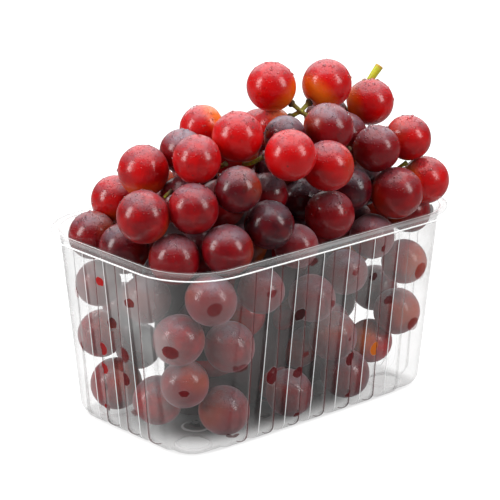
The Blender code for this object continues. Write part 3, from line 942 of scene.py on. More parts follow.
    def rim_profile(self, top: float) -> list[Triple]:
        """Work out the rim's section: a neck, the flat flange, a roll and the skirt.

        Args:
            top: the height of the flange's upper face.

        Returns:
            The section from the wall outwards, as reach, height and edge line.
        """
        profile = []
        for k, line in enumerate(self.neck_lines):
            turn = math.pi / 2 * k / (len(self.neck_lines) - 1)
            fall = self.neck * (1.0 - math.sin(turn))
            profile.append((self.neck * (1.0 - math.cos(turn)), top - fall, line))
        flat = self.flange - self.roll
        for share in (0.25, 0.66):
            crown = 0.12 * math.sin(math.pi * share)
            profile.append((self.neck + (flat - self.neck) * share, top + crown, 0.0))
        for k, line in enumerate(self.roll_lines):
            turn = math.pi / 2 * k / (len(self.roll_lines) - 1)
            fall = self.roll * (1.0 - math.cos(turn))
            profile.append((flat + self.roll * math.sin(turn), top - fall, line))
        profile.append((self.flange + 0.15, top - self.skirt_drop * 0.6, 0.0))
        # the skirt's edge carries a painted highlight line
        profile.append((self.flange + 0.30, top - self.skirt_drop * 0.85, 0.4))
        profile.append((self.flange + self.skirt_flare, top - self.skirt_drop, 1.0))
        return profile

    def open_drains(self, shape: Shape) -> None:
        """Cut a round hole in the middle of each drain.

        Args:
            shape: the sheet.
        """
        for sx in (-1, 1):
            for sy in (-1, 1):
                centre = Vector((sx * self.drain[0], sy * self.drain[1]))
                near = [face for face in shape.faces
                        if (face.calc_center_median().xy - centre).length < self.drain_hole + 0.4
                        and face.calc_center_median().z < self.button_rise]
                bmesh.ops.delete(shape, geom=near, context="FACES")
                border = [edge for edge in shape.edges if edge.is_boundary
                          and (edge.verts[0].co.xy - centre).length < 2.5 * self.drain_hole]
                made = bmesh.ops.extrude_edge_only(shape, edges=border)["geom"]
                for vert in (item for item in made if isinstance(item, bmesh.types.BMVert)):
                    vert.co.xy = centre + (vert.co.xy - centre).normalized() * self.drain_hole
                    vert.co.z = self.floor_height(*vert.co.xy) + self.drain_lip

    def next_row(self, shape: Shape, row: list[bmesh.types.BMVert]) -> list[bmesh.types.BMVert]:
        """Grow a new row of points from the sheet's open edge.

        Args:
            shape: the sheet so far.
            row: the points of its open edge.

        Returns:
            The new points, in the same order.
        """
        last = set(row)
        edges = [edge for edge in shape.edges if edge.is_boundary or edge.is_wire]
        edges = [edge for edge in edges if edge.verts[0] in last and edge.verts[1] in last]
        made = bmesh.ops.extrude_edge_only(shape, edges=edges)["geom"]
        fresh = {item for item in made if isinstance(item, bmesh.types.BMVert)}
        return [next(e.other_vert(v) for e in v.link_edges if e.other_vert(v) in fresh) for v in row]

    def build(self, berries: list[Ball], outer: Material, inner: Material) -> Piece:
        """Model the tray as one thin sheet and mark where the berries touch it.

        Args:
            berries: centre and radius of each berry.
            outer: the sheet's material on its outer face.
            inner: its material on the inner face.

        Returns:
            The tray.
        """
        shape = bmesh.new()
        lines = shape.verts.layers.float.new("line")
        rings = list(self.rings())
        bmesh.ops.create_circle(shape, segments=len(rings[0]), radius=1.0)
        shape.verts.ensure_lookup_table()
        row = list(shape.verts)
        for index, ring in enumerate(rings):
            if index:
                row = self.next_row(shape, row)
            for vert, (point, line) in zip(row, ring):
                vert.co = point
                vert[lines] = line
        bmesh.ops.recalc_face_normals(shape, faces=shape.faces)
        shape.normal_update()
        floor = [face for face in shape.faces if face.calc_center_median().z < 0.01]
        if sum(face.normal.z * face.calc_area() for face in floor) > 0:
            bmesh.ops.reverse_faces(shape, faces=shape.faces)
        bmesh.ops.remove_doubles(shape, verts=shape.verts, dist=0.02)
        self.open_drains(shape)
        shape.normal_update()
        self.mark_touch(shape, berries)
        tray = finish_piece("clear_tray", shape, [outer, inner])
        sheet = tray.modifiers.new("Sheet", "SOLIDIFY")
        sheet.thickness = self.wall * MM
        sheet.offset = -1.0
        sheet.use_even_offset = False
        sheet.material_offset = 1
        bake_modifiers(tray)
        settle_piece(tray, Slot.PLASTIC, "tray")
        return tray

    def mark_touch(self, shape: Shape, berries: list[Ball]) -> None:
        """Store the wet spots, the rim's share and the mist's thickness on the sheet's points.

        Args:
            shape: the sheet.
            berries: centre and radius of each berry.
        """
        draw = random.Random(self.seed)
        keys = ("wet", "wipe", "tone", "rim", "fog")
        wet, wipe, tone, rim, fog = (shape.verts.layers.float.new(key) for key in keys)
        verts = list(shape.verts)
        spots = np.array([vert.co[:] for vert in verts])
        closest = np.full(len(verts), 99.0)
        least = np.full(len(verts), 9.0)
        share = np.zeros(len(verts))
        shades = np.zeros(len(verts))
        ovals = [(np.array(oval[:3]), oval[3] / 2, oval[4] / 2, *oval[5:]) for oval in self.wet_spots]
        for centre, radius in berries:
            gap = np.linalg.norm(spots - centre, axis=1) - radius
            closest = np.minimum(closest, gap)
            nearest = gap.argmin()
            size, clean = draw.uniform(*self.touch_size), draw.uniform(0.3, 1.0)
            x, y, z = spots[nearest]
            by_hand = x < -self.base_half[0] or y < -self.base_half[1]
            if gap[nearest] < self.touch_reach and z > 2.0 and not by_hand:
                high = size * draw.uniform(0.8, 1.2)
                ovals.append((spots[nearest], size, high, clean, draw.uniform(0.3, 0.8)))
        for centre, wide, high, clean, shade in ovals:
            offset = spots - centre
            aside = np.hypot(offset[:, 0], offset[:, 1])
            level = np.hypot(aside / wide, offset[:, 2] / high)
            closer = level < least
            least[closer] = level[closer]
            share[closer] = clean
            shades[closer] = shade
        for vert, level, clean, shade, space in zip(verts, least, share, shades, closest):
            on_rim = vert.co.z > self.rib_top
            vert[wet] = min(level, 9.0)
            vert[wipe] = clean
            vert[tone] = shade
            vert[rim] = self.rim_share(vert.co.z)
            vert[fog] = self.mist.on_rim(vert.co) if on_rim else self.mist.on_wall(vert.co, space)


# ---------------------------------------------------------------------------- heap
@dataclass
class Heap:
    """Where every berry lies: the laid ones listed, the rest filled in behind them and settled."""

    tray: Tray
    # x, y, z and diameter of each laid berry
    floor_row: tuple = (
        (32, -33, 13, 24), (-1, -10, 13, 24), (-5, -33, 12, 23), (-46, -33, 14, 24),
        (-66, 24, 16, 25), (-67, -8, 17, 24),
    )
    second_row: tuple = (
        (56, -25, 22, 22), (15, -16, 27, 22), (63, -37, 39, 23), (21, -36, 36, 24),
        (69, -14, 44, 23), (-66, -28, 31, 23), (-43, 36, 27, 23), (-70, 30, 41, 23),
    )
    third_row: tuple = (
        (-46, -37, 47, 24), (-71, -29, 54, 24), (-49, 37, 49, 22), (4, -40, 60, 23),
        (65, -40, 65, 22),
    )
    fourth_row: tuple = (
        (24, -41, 69, 22), (-30, -41, 72, 22), (-60, -40, 74, 24), (-72, -8, 69, 23),
        (-73, 27, 68, 22), (40, -42, 84, 22), (-10, -43, 90, 21),
    )
    rim_row: tuple = (
        (-75, 28, 92, 23), (-75, 5, 91, 24), (-69, -25, 92, 24), (-50, -40, 96, 24),
        (-27, -43, 104, 23), (11, -43, 101, 24), (12, -21, 103, 21), (31, -36, 108, 21),
        (50, -48, 105, 25), (73, -44, 106, 23), (-58, 32, 105, 23), (-79, -15, 112, 25),
        (-60, -28, 115, 24), (-15, -28, 113, 20), (7, -10, 117, 21),
    )
    crown: tuple = (
        (-40, -36, 122, 22), (-64, 3, 127, 24), (-51, -20, 135, 23), (-43, 0, 133, 21),
        (-25, 7, 140, 21), (-28, -22, 142, 24), (-14, -43, 135, 24), (8, -45, 126, 24),
        (-2, -26, 138, 20), (18, 6, 132, 20), (21, -31, 139, 24), (45, -39, 126, 23),
        (67, -38, 127, 22), (68, -10, 139, 23), (16, 4, 153, 24), (42, -7, 152, 24),
    )
    gap: float = 0.35
    turn: float = math.radians(-41.3)
    tilt: float = math.radians(18.3)
    fill_diameter: tuple[float, float] = (21.0, 24.5)
    fill_step: float = 22.5
    fill_layer: float = 18.5
    darts: int = 4000
    seed: int = 7
    row_share: float = 0.87
    shake: float = 2.5
    room: float = 0.88
    cover: float = 0.85
    edge_room: float = 0.8
    skyline_ways: tuple[float, ...] = (0.0, 0.8, math.pi / 2, math.pi - 0.8, math.pi)
    peek: float = 1.5
    settle_steps: int = 120
    centre: Triple = (4.0, 2.0, 88.0)
    half: Triple = (82.0, 50.0, 62.0)
    free_corners: tuple = (
        ((58, 90), (-60, 22), (0, 34)),
        ((-90, -58), (28, 60), (0, 32)),
    )
    stem_room: float = 2.4
    sight: float = 60.0
    fork_joint: Triple = (26.8, -5.2, 140.6)
    fork_arms: tuple = (((16, 4, 153), 12.0), ((42, -7, 152), 12.0), ((18, 6, 132), 10.0))
    fork_stem: tuple = ((28.4, -7.2, 139.0), (28.0, -7.6, 135.0), (27.4, -8.0, 131.0))
    end_path: tuple = ((61, 9, 106), (64, 9, 117), (69, 8, 127), (75, 4, 138), (78, 0, 147), (83, -1, 153))
    berries: list[Ball] = field(default_factory=list)

    def laid(self) -> list[tuple[int, int, int, int]]:
        """Return place and diameter of every laid berry, from the floor up."""
        rows = (self.floor_row, self.second_row, self.third_row, self.fourth_row, self.rim_row, self.crown)
        return [berry for row in rows for berry in row]

    def wall_room(self, place: np.ndarray) -> tuple[float, np.ndarray]:
        """Measure the room between a point and the nearest wall.

        Args:
            place: the point.

        Returns:
            How far it is inside the wall, and the way from the wall towards the middle.
        """
        half, corner = self.tray.half_at(min(place[2], self.tray.height))
        corner -= self.tray.wall
        over = [abs(place[k]) - (half[k] - self.tray.wall - corner) for k in range(2)]
        if over[0] > 0 and over[1] > 0:
            length = math.hypot(*over)
            corner *= math.cos(math.pi / 4 / self.tray.facets)
            inward = np.array([-math.copysign(over[0], place[0]), -math.copysign(over[1], place[1]), 0.0])
            return corner - length, inward / length
        axis = 0 if over[0] > over[1] else 1
        inward = np.zeros(3)
        inward[axis] = -math.copysign(1.0, place[axis])
        return corner - over[axis], inward

    def seat(self, place: np.ndarray, radius: float) -> np.ndarray:
        """Move a ball off the floor, its domes and the walls.

        Args:
            place: its centre.
            radius: its radius.

        Returns:
            The centre where it touches nothing.
        """
        tray = self.tray
        place = place.copy()
        place[2] = max(place[2], tray.wall + self.gap + radius)
        if place[2] < tray.height + radius:
            rise = min(max(place[2] - tray.height, 0.0), radius)
            reach = math.sqrt(radius ** 2 - rise ** 2)
            room, inward = self.wall_room(place)
            if room < reach + self.gap:
                place += inward * (reach + self.gap - room)
        for x, y, width, rise in tray.domes():
            ball = (width ** 2 + rise ** 2) / (2 * rise)
            away = place - np.array([x, y, rise - ball])
            need = ball + radius + self.gap
            length = np.linalg.norm(away)
            if length < need:
                place += away / length * (need - length)
        return place

    def sight_line(self) -> np.ndarray:
        """Return the way from the front of the heap to its back."""
        level = math.cos(self.tilt)
        return np.array([-math.sin(self.turn) * level, math.cos(self.turn) * level, -math.sin(self.tilt)])

    def keeps_laid_side(self, place: np.ndarray, radius: float, laid: list[Ball]) -> bool:
        """Tell whether a filling berry stays behind the laid ones and under their skyline.

        Args:
            place: its centre.
            radius: its radius.
            laid: the laid berries.

        Returns:
            Whether it does.
        """
        line = self.sight_line()
        for centre, size in laid:
            offset = place - centre
            along = float(offset @ line)
            beside = float(np.linalg.norm(offset - along * line))
            if along < 0 and beside < size + self.cover * radius:
                return False
        if place[2] < self.tray.height - radius:
            return True
        right = np.cross(line, (0, 0, 1))
        right /= np.linalg.norm(right)
        up = np.cross(right, line)
        for angle in self.skyline_ways:
            edge = place + radius * (right * math.cos(angle) + up * math.sin(angle))
            skyline = -math.inf
            for centre, size in laid:
                aside = (edge - centre) @ right
                if abs(aside) < size:
                    skyline = max(skyline, centre @ up + math.sqrt(size ** 2 - aside ** 2))
            if edge @ up > skyline + self.peek:
                return False
        return True

    def heap_share(self, place: Triple) -> float:
        """Return how far out in the heap's rounded top a point is, with 1 on its surface."""
        return math.sqrt(sum(((p - c) / h) ** 2 for p, c, h in zip(place, self.centre, self.half)))

    def holds(self, place: np.ndarray) -> bool:
        """Tell whether a point may hold a filling berry: in the heap, and not in a free corner."""
        if any(all(low < p < high for p, (low, high) in zip(place, box)) for box in self.free_corners):
            return False
        return place[2] < self.tray.height or self.heap_share(place) < 1.0

    def sites(self) -> Iterator[Ball]:
        """Try filling berries layer by layer, then at random.

        Returns:
            Centre and radius of each one tried.
        """
        draw = random.Random(self.seed)
        rim = self.tray.rim_half
        layer = 0
        height = self.tray.wall + self.gap + self.fill_diameter[1] / 2
        while height < self.centre[2] + self.half[2]:
            row = 0
            across = -rim[1] + (layer % 2) * self.fill_step * 0.3
            while across < rim[1]:
                along = -rim[0] + ((row + layer) % 2) * self.fill_step / 2
                while along < rim[0]:
                    shake = [draw.uniform(-self.shake, self.shake) for _ in range(3)]
                    diameter = draw.uniform(*self.fill_diameter)
                    yield np.array([along, across, height]) + shake, diameter / 2
                    along += self.fill_step
                across += self.fill_step * self.row_share
                row += 1
            height += self.fill_layer
            layer += 1
        for _ in range(self.darts):
            place = [draw.uniform(-h, h) for h in rim] + [draw.uniform(12.0, 140.0)]
            yield np.array(place), draw.uniform(*self.fill_diameter) / 2

    def stem_balls(self) -> list[Ball]:
        """Line the stalks, and the view of the fork, with small balls.

        Returns:
            The balls, which the berries keep clear of.
        """
        joint = np.array(self.fork_joint)
        paths = [np.array(self.end_path, float), np.array((self.fork_joint,) + self.fork_stem)]
        paths += [np.array([joint, joint + (np.array(end) - joint) * 0.35]) for end, _ in self.fork_arms]
        paths.append(np.array([joint, joint + self.sight * self.sight_line()]))
        balls = []
        for path in paths:
            for start, end in zip(path, path[1:]):
                for share in np.linspace(0.1, 0.9, 2 + int(np.linalg.norm(end - start) / 6.0)):
                    balls.append((start + (end - start) * share, self.stem_room))
        return balls

    def settle(self, everything: list[Ball], held: np.ndarray) -> np.ndarray:
        """Push overlapping balls apart, and away from the tray, while the held ones stay.

        Args:
            everything: centre and radius of each ball.
            held: which of them stay where they are.

        Returns:
            The settled centres.
        """
        places = np.array([ball[0] for ball in everything])
        radii = np.array([ball[1] for ball in everything])
        touch = radii[:, None] + radii[None, :]
        give = np.where(held[:, None] & held[None, :], 0.0, 0.5)
        give = np.where(~held[:, None] & held[None, :], 1.0, give)
        give = np.where(held[:, None] & ~held[None, :], 0.0, give)
        for _ in range(self.settle_steps):
            offset = places[:, None] - places[None, :]
            length = np.linalg.norm(offset, axis=2) + np.eye(len(radii)) * 1e6
            push = np.clip(touch - length, 0.0, None) * give * 0.5
            places += (offset / length[:, :, None] * push[:, :, None]).sum(axis=1)
            for k in np.flatnonzero(~held):
                places[k] = self.seat(places[k], radii[k])
        return places

    def pack(self) -> list[Ball]:
        """Work out every berry, the laid ones first.

        Returns:
            Centre and radius of each berry.
        """
        laid = [(self.seat(np.array([x, y, z], float), size / 2), size / 2)
                for x, y, z, size in self.laid()]
        berries = list(laid)
        stems = self.stem_balls()
        for place, radius in self.sites():
            place = self.seat(place, radius)
            if not self.holds(place) or not self.keeps_laid_side(place, radius, laid):
                continue
            if place[2] > self.tray.height and self.wall_room(place)[0] < radius * self.edge_room:
                continue
            if all(np.linalg.norm(place - c) > self.room * (radius + size) for c, size in berries + stems):
                berries.append((place, radius))
        held = np.arange(len(berries) + len(stems)) < len(laid)
        held[len(berries):] = True
        places = self.settle(berries + stems, held)
        self.berries = [(places[k], berries[k][1]) for k in range(len(berries))]
        return self.berries


# ---------------------------------------------------------------------------- berries
@dataclass
class BerrySet:
    """One joined piece of berries, each with its own form, ripeness, blush and bloom."""

    name: str
    balls: list[Ball]
    looks: list[tuple[float, float, float]]
    fineness: int = 5
    heart: Triple = (4.0, 2.0, 96.0)
    lean: float = 0.9
    length: tuple[float, float] = (1.0, 1.03)
    width: tuple[float, float] = (0.975, 1.0)
    swells: tuple[tuple[float, float], ...] = ((0.012, 1.3), (0.004, 3.7))
    stalk_pit: tuple[float, float] = (0.05, 0.03)
    tip_pit: tuple[float, float] = (0.012, 0.004)
    seed: int = 3

    def axis(self, centre: np.ndarray, draw: random.Random) -> Vector:
        """Return the way from a berry's stalk end to its tip, outwards with some lean."""
        away = Vector(centre) - Vector(self.heart)
        away.z *= 0.6
        lean = Vector([draw.gauss(0.0, self.lean) for _ in range(3)])
        return (away.normalized() + lean).normalized()

    def build(self, skin: Material, axes: dict[int, Vector]) -> Piece:
        """Model the berries.

        Args:
            skin: the grape skin.
            axes: set axes of single berries by their number in this set.

        Returns:
            The joined piece.
        """
        draw = random.Random(self.seed)
        shape = bmesh.new()
        keys = ("ripe", "axial", "blush", "bloom_and_highlight", "up_facing")
        layers = [shape.verts.layers.float.new(key) for key in keys]
        for number, ((centre, radius), (ripe, blush, bloom_and_highlight)) in enumerate(zip(self.balls, self.looks)):
            axis = axes.get(number, self.axis(centre, draw))
            turn = axis.to_track_quat("Z", "Y").to_matrix().to_4x4()
            long, wide = draw.uniform(*self.length), draw.uniform(*self.width)
            drift = Vector([draw.uniform(-50.0, 50.0) for _ in range(3)])
            ball = bmesh.ops.create_icosphere(shape, subdivisions=self.fineness, radius=1.0)["verts"]
            for vert in ball:
                way = vert.co.normalized()
                (broad, slow), (fine, quick) = self.swells
                swell = 1.0 + broad * noise.noise(way * slow + drift)
                swell += fine * noise.noise(way * quick - drift)
                stalk_pit = self.stalk_pit[0] * math.exp(-((1.0 + way.z) / self.stalk_pit[1]))
                tip_pit = self.tip_pit[0] * math.exp(-((1.0 - way.z) / self.tip_pit[1]))
                reach = radius * (swell - (stalk_pit + tip_pit))
                # the last value is how much the point faces up, which places the dew drops and the painted
                # highlight on the tops
                values = (ripe, way.z, blush, bloom_and_highlight, smoothstep((turn @ way).z, -0.25, 1.0))
                for layer, value in zip(layers, values):
                    vert[layer] = value
                vert.co = Vector((way.x * wide, way.y * wide, way.z * long)) * reach
            bmesh.ops.transform(shape, matrix=Matrix.Translation(Vector(centre)) @ turn, verts=ball)
        return finish_piece(self.name, shape, [skin])


@dataclass
class Berries:
    """All the berries, in sets: crown, rim, behind the walls and the filling."""

    heap: Heap
    seed: int = 21
    fill_ripe: tuple[float, float] = (0.25, 0.95)
    fill_blush: tuple[float, float] = (0.0, 0.5)
    fill_bloom_and_highlight: tuple[float, float] = (0.08, 0.25)
    wall_ripe_scale: float = 0.85
    # ripeness, blush and bloom of each laid berry; the bloom also sets the painted highlight on its top
    crown_looks: tuple = (
        (0.72, 0.1, 0.22), (0.18, 0.6, 0.12), (0.16, 0.2, 0.14), (0.45, 0.2, 0.30),
        (0.05, 1.0, 0.10), (0.08, 0.4, 0.12), (0.06, 0.2, 0.10), (0.14, 0.1, 0.16),
        (0.86, 0.0, 0.26), (0.02, 1.0, 0.10), (0.52, 0.1, 0.24), (0.54, 0.1, 0.18),
        (0.18, 0.1, 0.12), (0.12, 0.8, 0.12), (0.04, 0.7, 0.08), (0.10, 0.9, 0.10),
    )
    rim_looks: tuple = (
        (0.55, 0.2, 0.18), (0.75, 0.1, 0.16), (0.50, 0.2, 0.18), (0.62, 0.1, 0.20),
        (0.86, 0.0, 0.16), (0.48, 0.0, 0.14), (0.92, 0.0, 0.10), (0.86, 0.0, 0.14),
        (0.40, 0.1, 0.10), (0.12, 0.9, 0.08), (0.22, 0.4, 0.14), (0.34, 0.2, 0.14),
        (0.38, 0.2, 0.20), (0.72, 0.1, 0.24), (0.85, 0.1, 0.10),
    )
    wall_looks: tuple = (
        (0.70, 0.1, 0.2), (0.60, 0.1, 0.2), (0.75, 0.1, 0.2), (0.55, 0.2, 0.2), (0.35, 0.3, 0.1),
        (0.30, 0.3, 0.2), (0.15, 0.9, 0.1), (0.60, 0.1, 0.2), (0.40, 0.3, 0.2), (0.60, 0.2, 0.2),
        (0.75, 0.1, 0.3), (0.50, 0.2, 0.2), (0.80, 0.1, 0.3), (0.35, 0.2, 0.1), (0.50, 0.2, 0.2),
        (0.45, 0.2, 0.2), (0.70, 0.1, 0.3), (0.65, 0.1, 0.2), (0.30, 0.4, 0.1), (0.70, 0.1, 0.2),
        (0.60, 0.1, 0.2), (0.60, 0.2, 0.3), (0.65, 0.1, 0.3), (0.40, 0.3, 0.2), (0.60, 0.2, 0.2),
        (0.65, 0.1, 0.2),
    )

    def lit(self, looks: tuple) -> list[tuple[float, float, float]]:
        """Return the looks of the berries behind the walls, with their ripeness scaled down to a lighter red.
        """
        return [(ripe * self.wall_ripe_scale, blush, bloom_and_highlight) for ripe, blush, bloom_and_highlight in looks]

    def build(self, skin: Material, misted: Material) -> list[Piece]:
        """Model every set of berries.

        Args:
            skin: the grape skin.
            misted: the paler skin of the berries behind the walls.

        Returns:
            The pieces.
        """
        draw = random.Random(self.seed)
        heap = self.heap
        balls = heap.berries
        walls = len(self.wall_looks)
        rims = walls + len(self.rim_looks)
        crowns = rims + len(self.crown_looks)
        fill = balls[crowns:]
        spans = (self.fill_ripe, self.fill_blush, self.fill_bloom_and_highlight)
        fill_looks = [tuple(draw.uniform(*span) for span in spans) for _ in fill]
        joint = Vector(heap.fork_joint)
        stalked = (len(self.crown_looks) - 2, len(self.crown_looks) - 1, 9)
        axes = {k: (Vector(balls[rims + k][0]) - joint).normalized() for k in stalked}
        sets = (
            (BerrySet("berries_crown", balls[rims:crowns], list(self.crown_looks), seed=3), skin, axes),
            (BerrySet("berries_rim", balls[walls:rims], list(self.rim_looks), seed=4), skin, {}),
            (BerrySet("berries_walls", balls[:walls], self.lit(self.wall_looks), seed=5), misted, {}),
            (BerrySet("berries_filling", fill, fill_looks, fineness=4, seed=6), skin, {}),
        )
        made = []
        for berries, own_skin, own_axes in sets:
            piece = berries.build(own_skin, own_axes)
            settle_piece(piece, Slot.SKIN, "grapes")
            made.append(piece)
        return made


@dataclass
class HeapCore:
    """The dark body inside the heap that closes the view between the berries: painted shade where the inside
    lies in shadow.
    """

    tray: Tray
    inset: float = 27.0
    levels: tuple = (5.0, 40.0, 70.0, 92.0)
    rise: float = 14.0
    squareness: float = 3.2

    def build(self, shade: Material) -> Piece:
        """Model the core by raising one ring level by level.

        Args:
            shade: the dark material, painted shade.

        Returns:
            The core.
        """
        shape = bmesh.new()
        bmesh.ops.create_circle(shape, segments=32, radius=1.0, cap_ends=True)
        top = shape.faces[:]
        stages = [(level, 1.0) for level in self.levels]
        for share in (0.5, 0.8, 0.96):
            stages.append((self.levels[-1] + self.rise * share, math.sqrt(1.0 - share ** 2)))
        for number, (level, narrow) in enumerate(stages):
            if number:
                top = self.raise_face(shape, top)
            half, _ = self.tray.half_at(min(level, self.tray.height))
            half = [(h - self.inset) * narrow for h in half]
            for vert in top[0].verts:
                # y alone is shortened, so the core is slimmer towards its ends above the lowest ring
                angle = math.atan2(vert.co.y / vert.co.length, vert.co.x)
                vert.co = self.edge_point(half, angle, level)
        bmesh.ops.recalc_face_normals(shape, faces=shape.faces)
        core = finish_piece("heap_core", shape, [shade])
        settle_piece(core, Slot.SKIN, "grapes")
        return core

    def raise_face(self, shape: Shape, faces: list[bmesh.types.BMFace]) -> list[bmesh.types.BMFace]:
        """Extrude the top face and return the new one."""
        made = bmesh.ops.extrude_face_region(shape, geom=faces)["geom"]
        bmesh.ops.delete(shape, geom=faces, context="FACES_ONLY")
        return [item for item in made if isinstance(item, bmesh.types.BMFace)]

    def edge_point(self, half: list[float], angle: float, level: float) -> Vector:
        """Find a point of a rounded oblong.

        Args:
            half: half its length and half its width.
            angle: the direction from its middle.
            level: the height where it lies.

        Returns:
            The point.
        """
        cosine, sine = math.cos(angle), math.sin(angle)
        power = self.squareness
        scale = (abs(cosine / half[0]) ** power + abs(sine / half[1]) ** power) ** (-1.0 / power)
        return Vector((cosine * scale, sine * scale, level))


@dataclass
class WaterBeads:
    """Small beads of water on the berries that lie in the open."""

    heap: Heap
    first: int
    last: int
    each: int = 44
    lean: Triple = (0.0, 0.0, 1.3)
    radius: tuple[float, float] = (0.28, 0.95)
    flat: float = 0.6
    lowest: float = -0.1
    clear: float = 1.02
    sunk: float = 0.992
    fine_above: float = 0.6
    near: float = 30.0
    seed: int = 17

    def places(self, number: int, draw: random.Random) -> Iterator[tuple[Vector, float]]:
        """Try beads on one berry and keep those that no other berry covers.

        Args:
            number: the berry's number in the heap.
            draw: the random draws.

        Returns:
            The way from the berry's centre to each bead, and the bead's size.
        """
        balls = self.heap.berries
        centre, radius = balls[number]
        others = [(c, r) for k, (c, r) in enumerate(balls)
                  if k != number and np.linalg.norm(c - centre) < self.near]
        for _ in range(self.each):
            way = Vector([draw.gauss(middle, 1.0) for middle in self.lean]).normalized()
            size = self.radius[0] + (self.radius[1] - self.radius[0]) * draw.random() ** 2.8
            spot = centre + np.array(way) * radius
            if way.z > self.lowest and all(np.linalg.norm(spot - c) > r * self.clear for c, r in others):
                yield way.normalized(), size

    def build(self, water: Material) -> Piece:
        """Model the beads on the chosen berries.

        Args:
            water: the water material.

        Returns:
            The joined piece.
        """
        draw = random.Random(self.seed)
        shape = bmesh.new()
        store = bpy.data.meshes.new("beads_of_one_berry")
        for number in range(self.first, self.last):
            centre, radius = self.heap.berries[number]
            part = bmesh.new()
            for way, size in self.places(number, draw):
                turn = way.to_track_quat("Z", "Y").to_matrix().to_4x4()
                stretch = Matrix.Diagonal((size, size * draw.uniform(0.8, 1.15), size * self.flat, 1.0))
                seat = Matrix.Translation(Vector(centre) + way * radius * self.sunk)
                bmesh.ops.create_icosphere(part, subdivisions=3 if size > self.fine_above else 2,
                                           radius=1.0, matrix=seat @ turn @ stretch)
            part.to_mesh(store)
            part.free()
            shape.from_mesh(store)
        bpy.data.meshes.remove(store)
        beads = finish_piece("water_beads", shape, [water])
        settle_piece(beads, Slot.SKIN)
        return beads


# ---------------------------------------------------------------------------- stalks
@dataclass
class Stalk:
    """A stalk swept along a path, with its thickness, browning and a cut end."""

    name: str
    sides: int = 14

    def sweep(self, shape: Shape, path: list[Vector], radii: list[float], ages: list[float],
              cut: tuple[float, float] = (0.0, 0.0)) -> None:
        """Sweep a round section along a path.

        Args:
            shape: the shape to add to.
            path: points along the stalk.
            radii: its radius at each point.
            ages: 0 for fresh green to 1 for brown at each point.
            cut: how much of the cut colour the first and the last face have.
        """
        age = shape.verts.layers.float.get("age") or shape.verts.layers.float.new("age")
        cuts = shape.verts.layers.float.get("cut") or shape.verts.layers.float.new("cut")
        face = None
        for k, (point, radius) in enumerate(zip(path, radii)):
            along = (path[min(k + 1, len(path) - 1)] - path[max(k - 1, 0)]).normalized()
            turn = along.to_track_quat("Z", "Y").to_matrix().to_4x4()
            if face is None:
                made = bmesh.ops.create_circle(shape, segments=self.sides, radius=radius, cap_ends=True,
                                               matrix=Matrix.Translation(point) @ turn)
                row = made["verts"]
                face = row[0].link_faces[0]
                back = bmesh.ops.duplicate(shape, geom=[face])["geom"]
                start = [item for item in back if isinstance(item, bmesh.types.BMFace)]
            else:
                made = bmesh.ops.extrude_face_region(shape, geom=[face])["geom"]
                bmesh.ops.delete(shape, geom=[face], context="FACES_ONLY")
                face = next(item for item in made if isinstance(item, bmesh.types.BMFace))
                row = list(face.verts)
                grow = Matrix.Scale(radius / last, 4)
                move = Matrix.Translation(point) @ turn @ grow @ facing.inverted()
                bmesh.ops.transform(shape, matrix=move @ Matrix.Translation(-place), verts=row)
            place, facing, last = point, turn, radius
            for vert in row:
                vert[age] = ages[k]
                vert[cuts] = cut[0] if k == 0 else (cut[1] if k == len(path) - 1 else 0.0)
        bmesh.ops.reverse_faces(shape, faces=start)
        bmesh.ops.remove_doubles(shape, verts=shape.verts, dist=0.001)

    def fuse(self, shape: Shape, bark: Material, voxel: float, nodes: tuple[str, ...]) -> Piece:
        """Melt the swept parts into one smooth stalk.

        Args:
            shape: the swept parts.
            bark: the stalk's material.
            voxel: the size of the melting grid, in millimetres.
            nodes: the solids it stands for.

        Returns:
            The stalk.
        """
        age, cut = (shape.verts.layers.float[key] for key in ("age", "cut"))
        places = np.array([vert.co[:] for vert in shape.verts])
        marks = {"age": np.array([vert[age] for vert in shape.verts]),
                 "cut": np.array([vert[cut] for vert in shape.verts])}
        stalk = finish_piece(self.name, shape, [bark])
        melt = stalk.modifiers.new("Melt", "REMESH")
        melt.mode = "VOXEL"
        melt.voxel_size = voxel * MM
        melt.use_smooth_shade = True
        soften = stalk.modifiers.new("Soften", "SMOOTH")
        soften.iterations = 4
        soften.factor = 0.5
        bake_modifiers(stalk)
        stalk.data.materials.clear()
        stalk.data.materials.append(bark)
        for key, values in marks.items():
            layer = stalk.data.attributes.new(key, "FLOAT", "POINT")
            for vert, item in zip(stalk.data.vertices, layer.data):
                away = np.linalg.norm(places - np.array(vert.co) / MM, axis=1)
                near = np.argsort(away)[:6]
                weight = 1.0 / (away[near] + 0.05)
                item.value = float((values[near] * weight).sum() / weight.sum())
        settle_piece(stalk, Slot.STALK, *nodes)
        return stalk


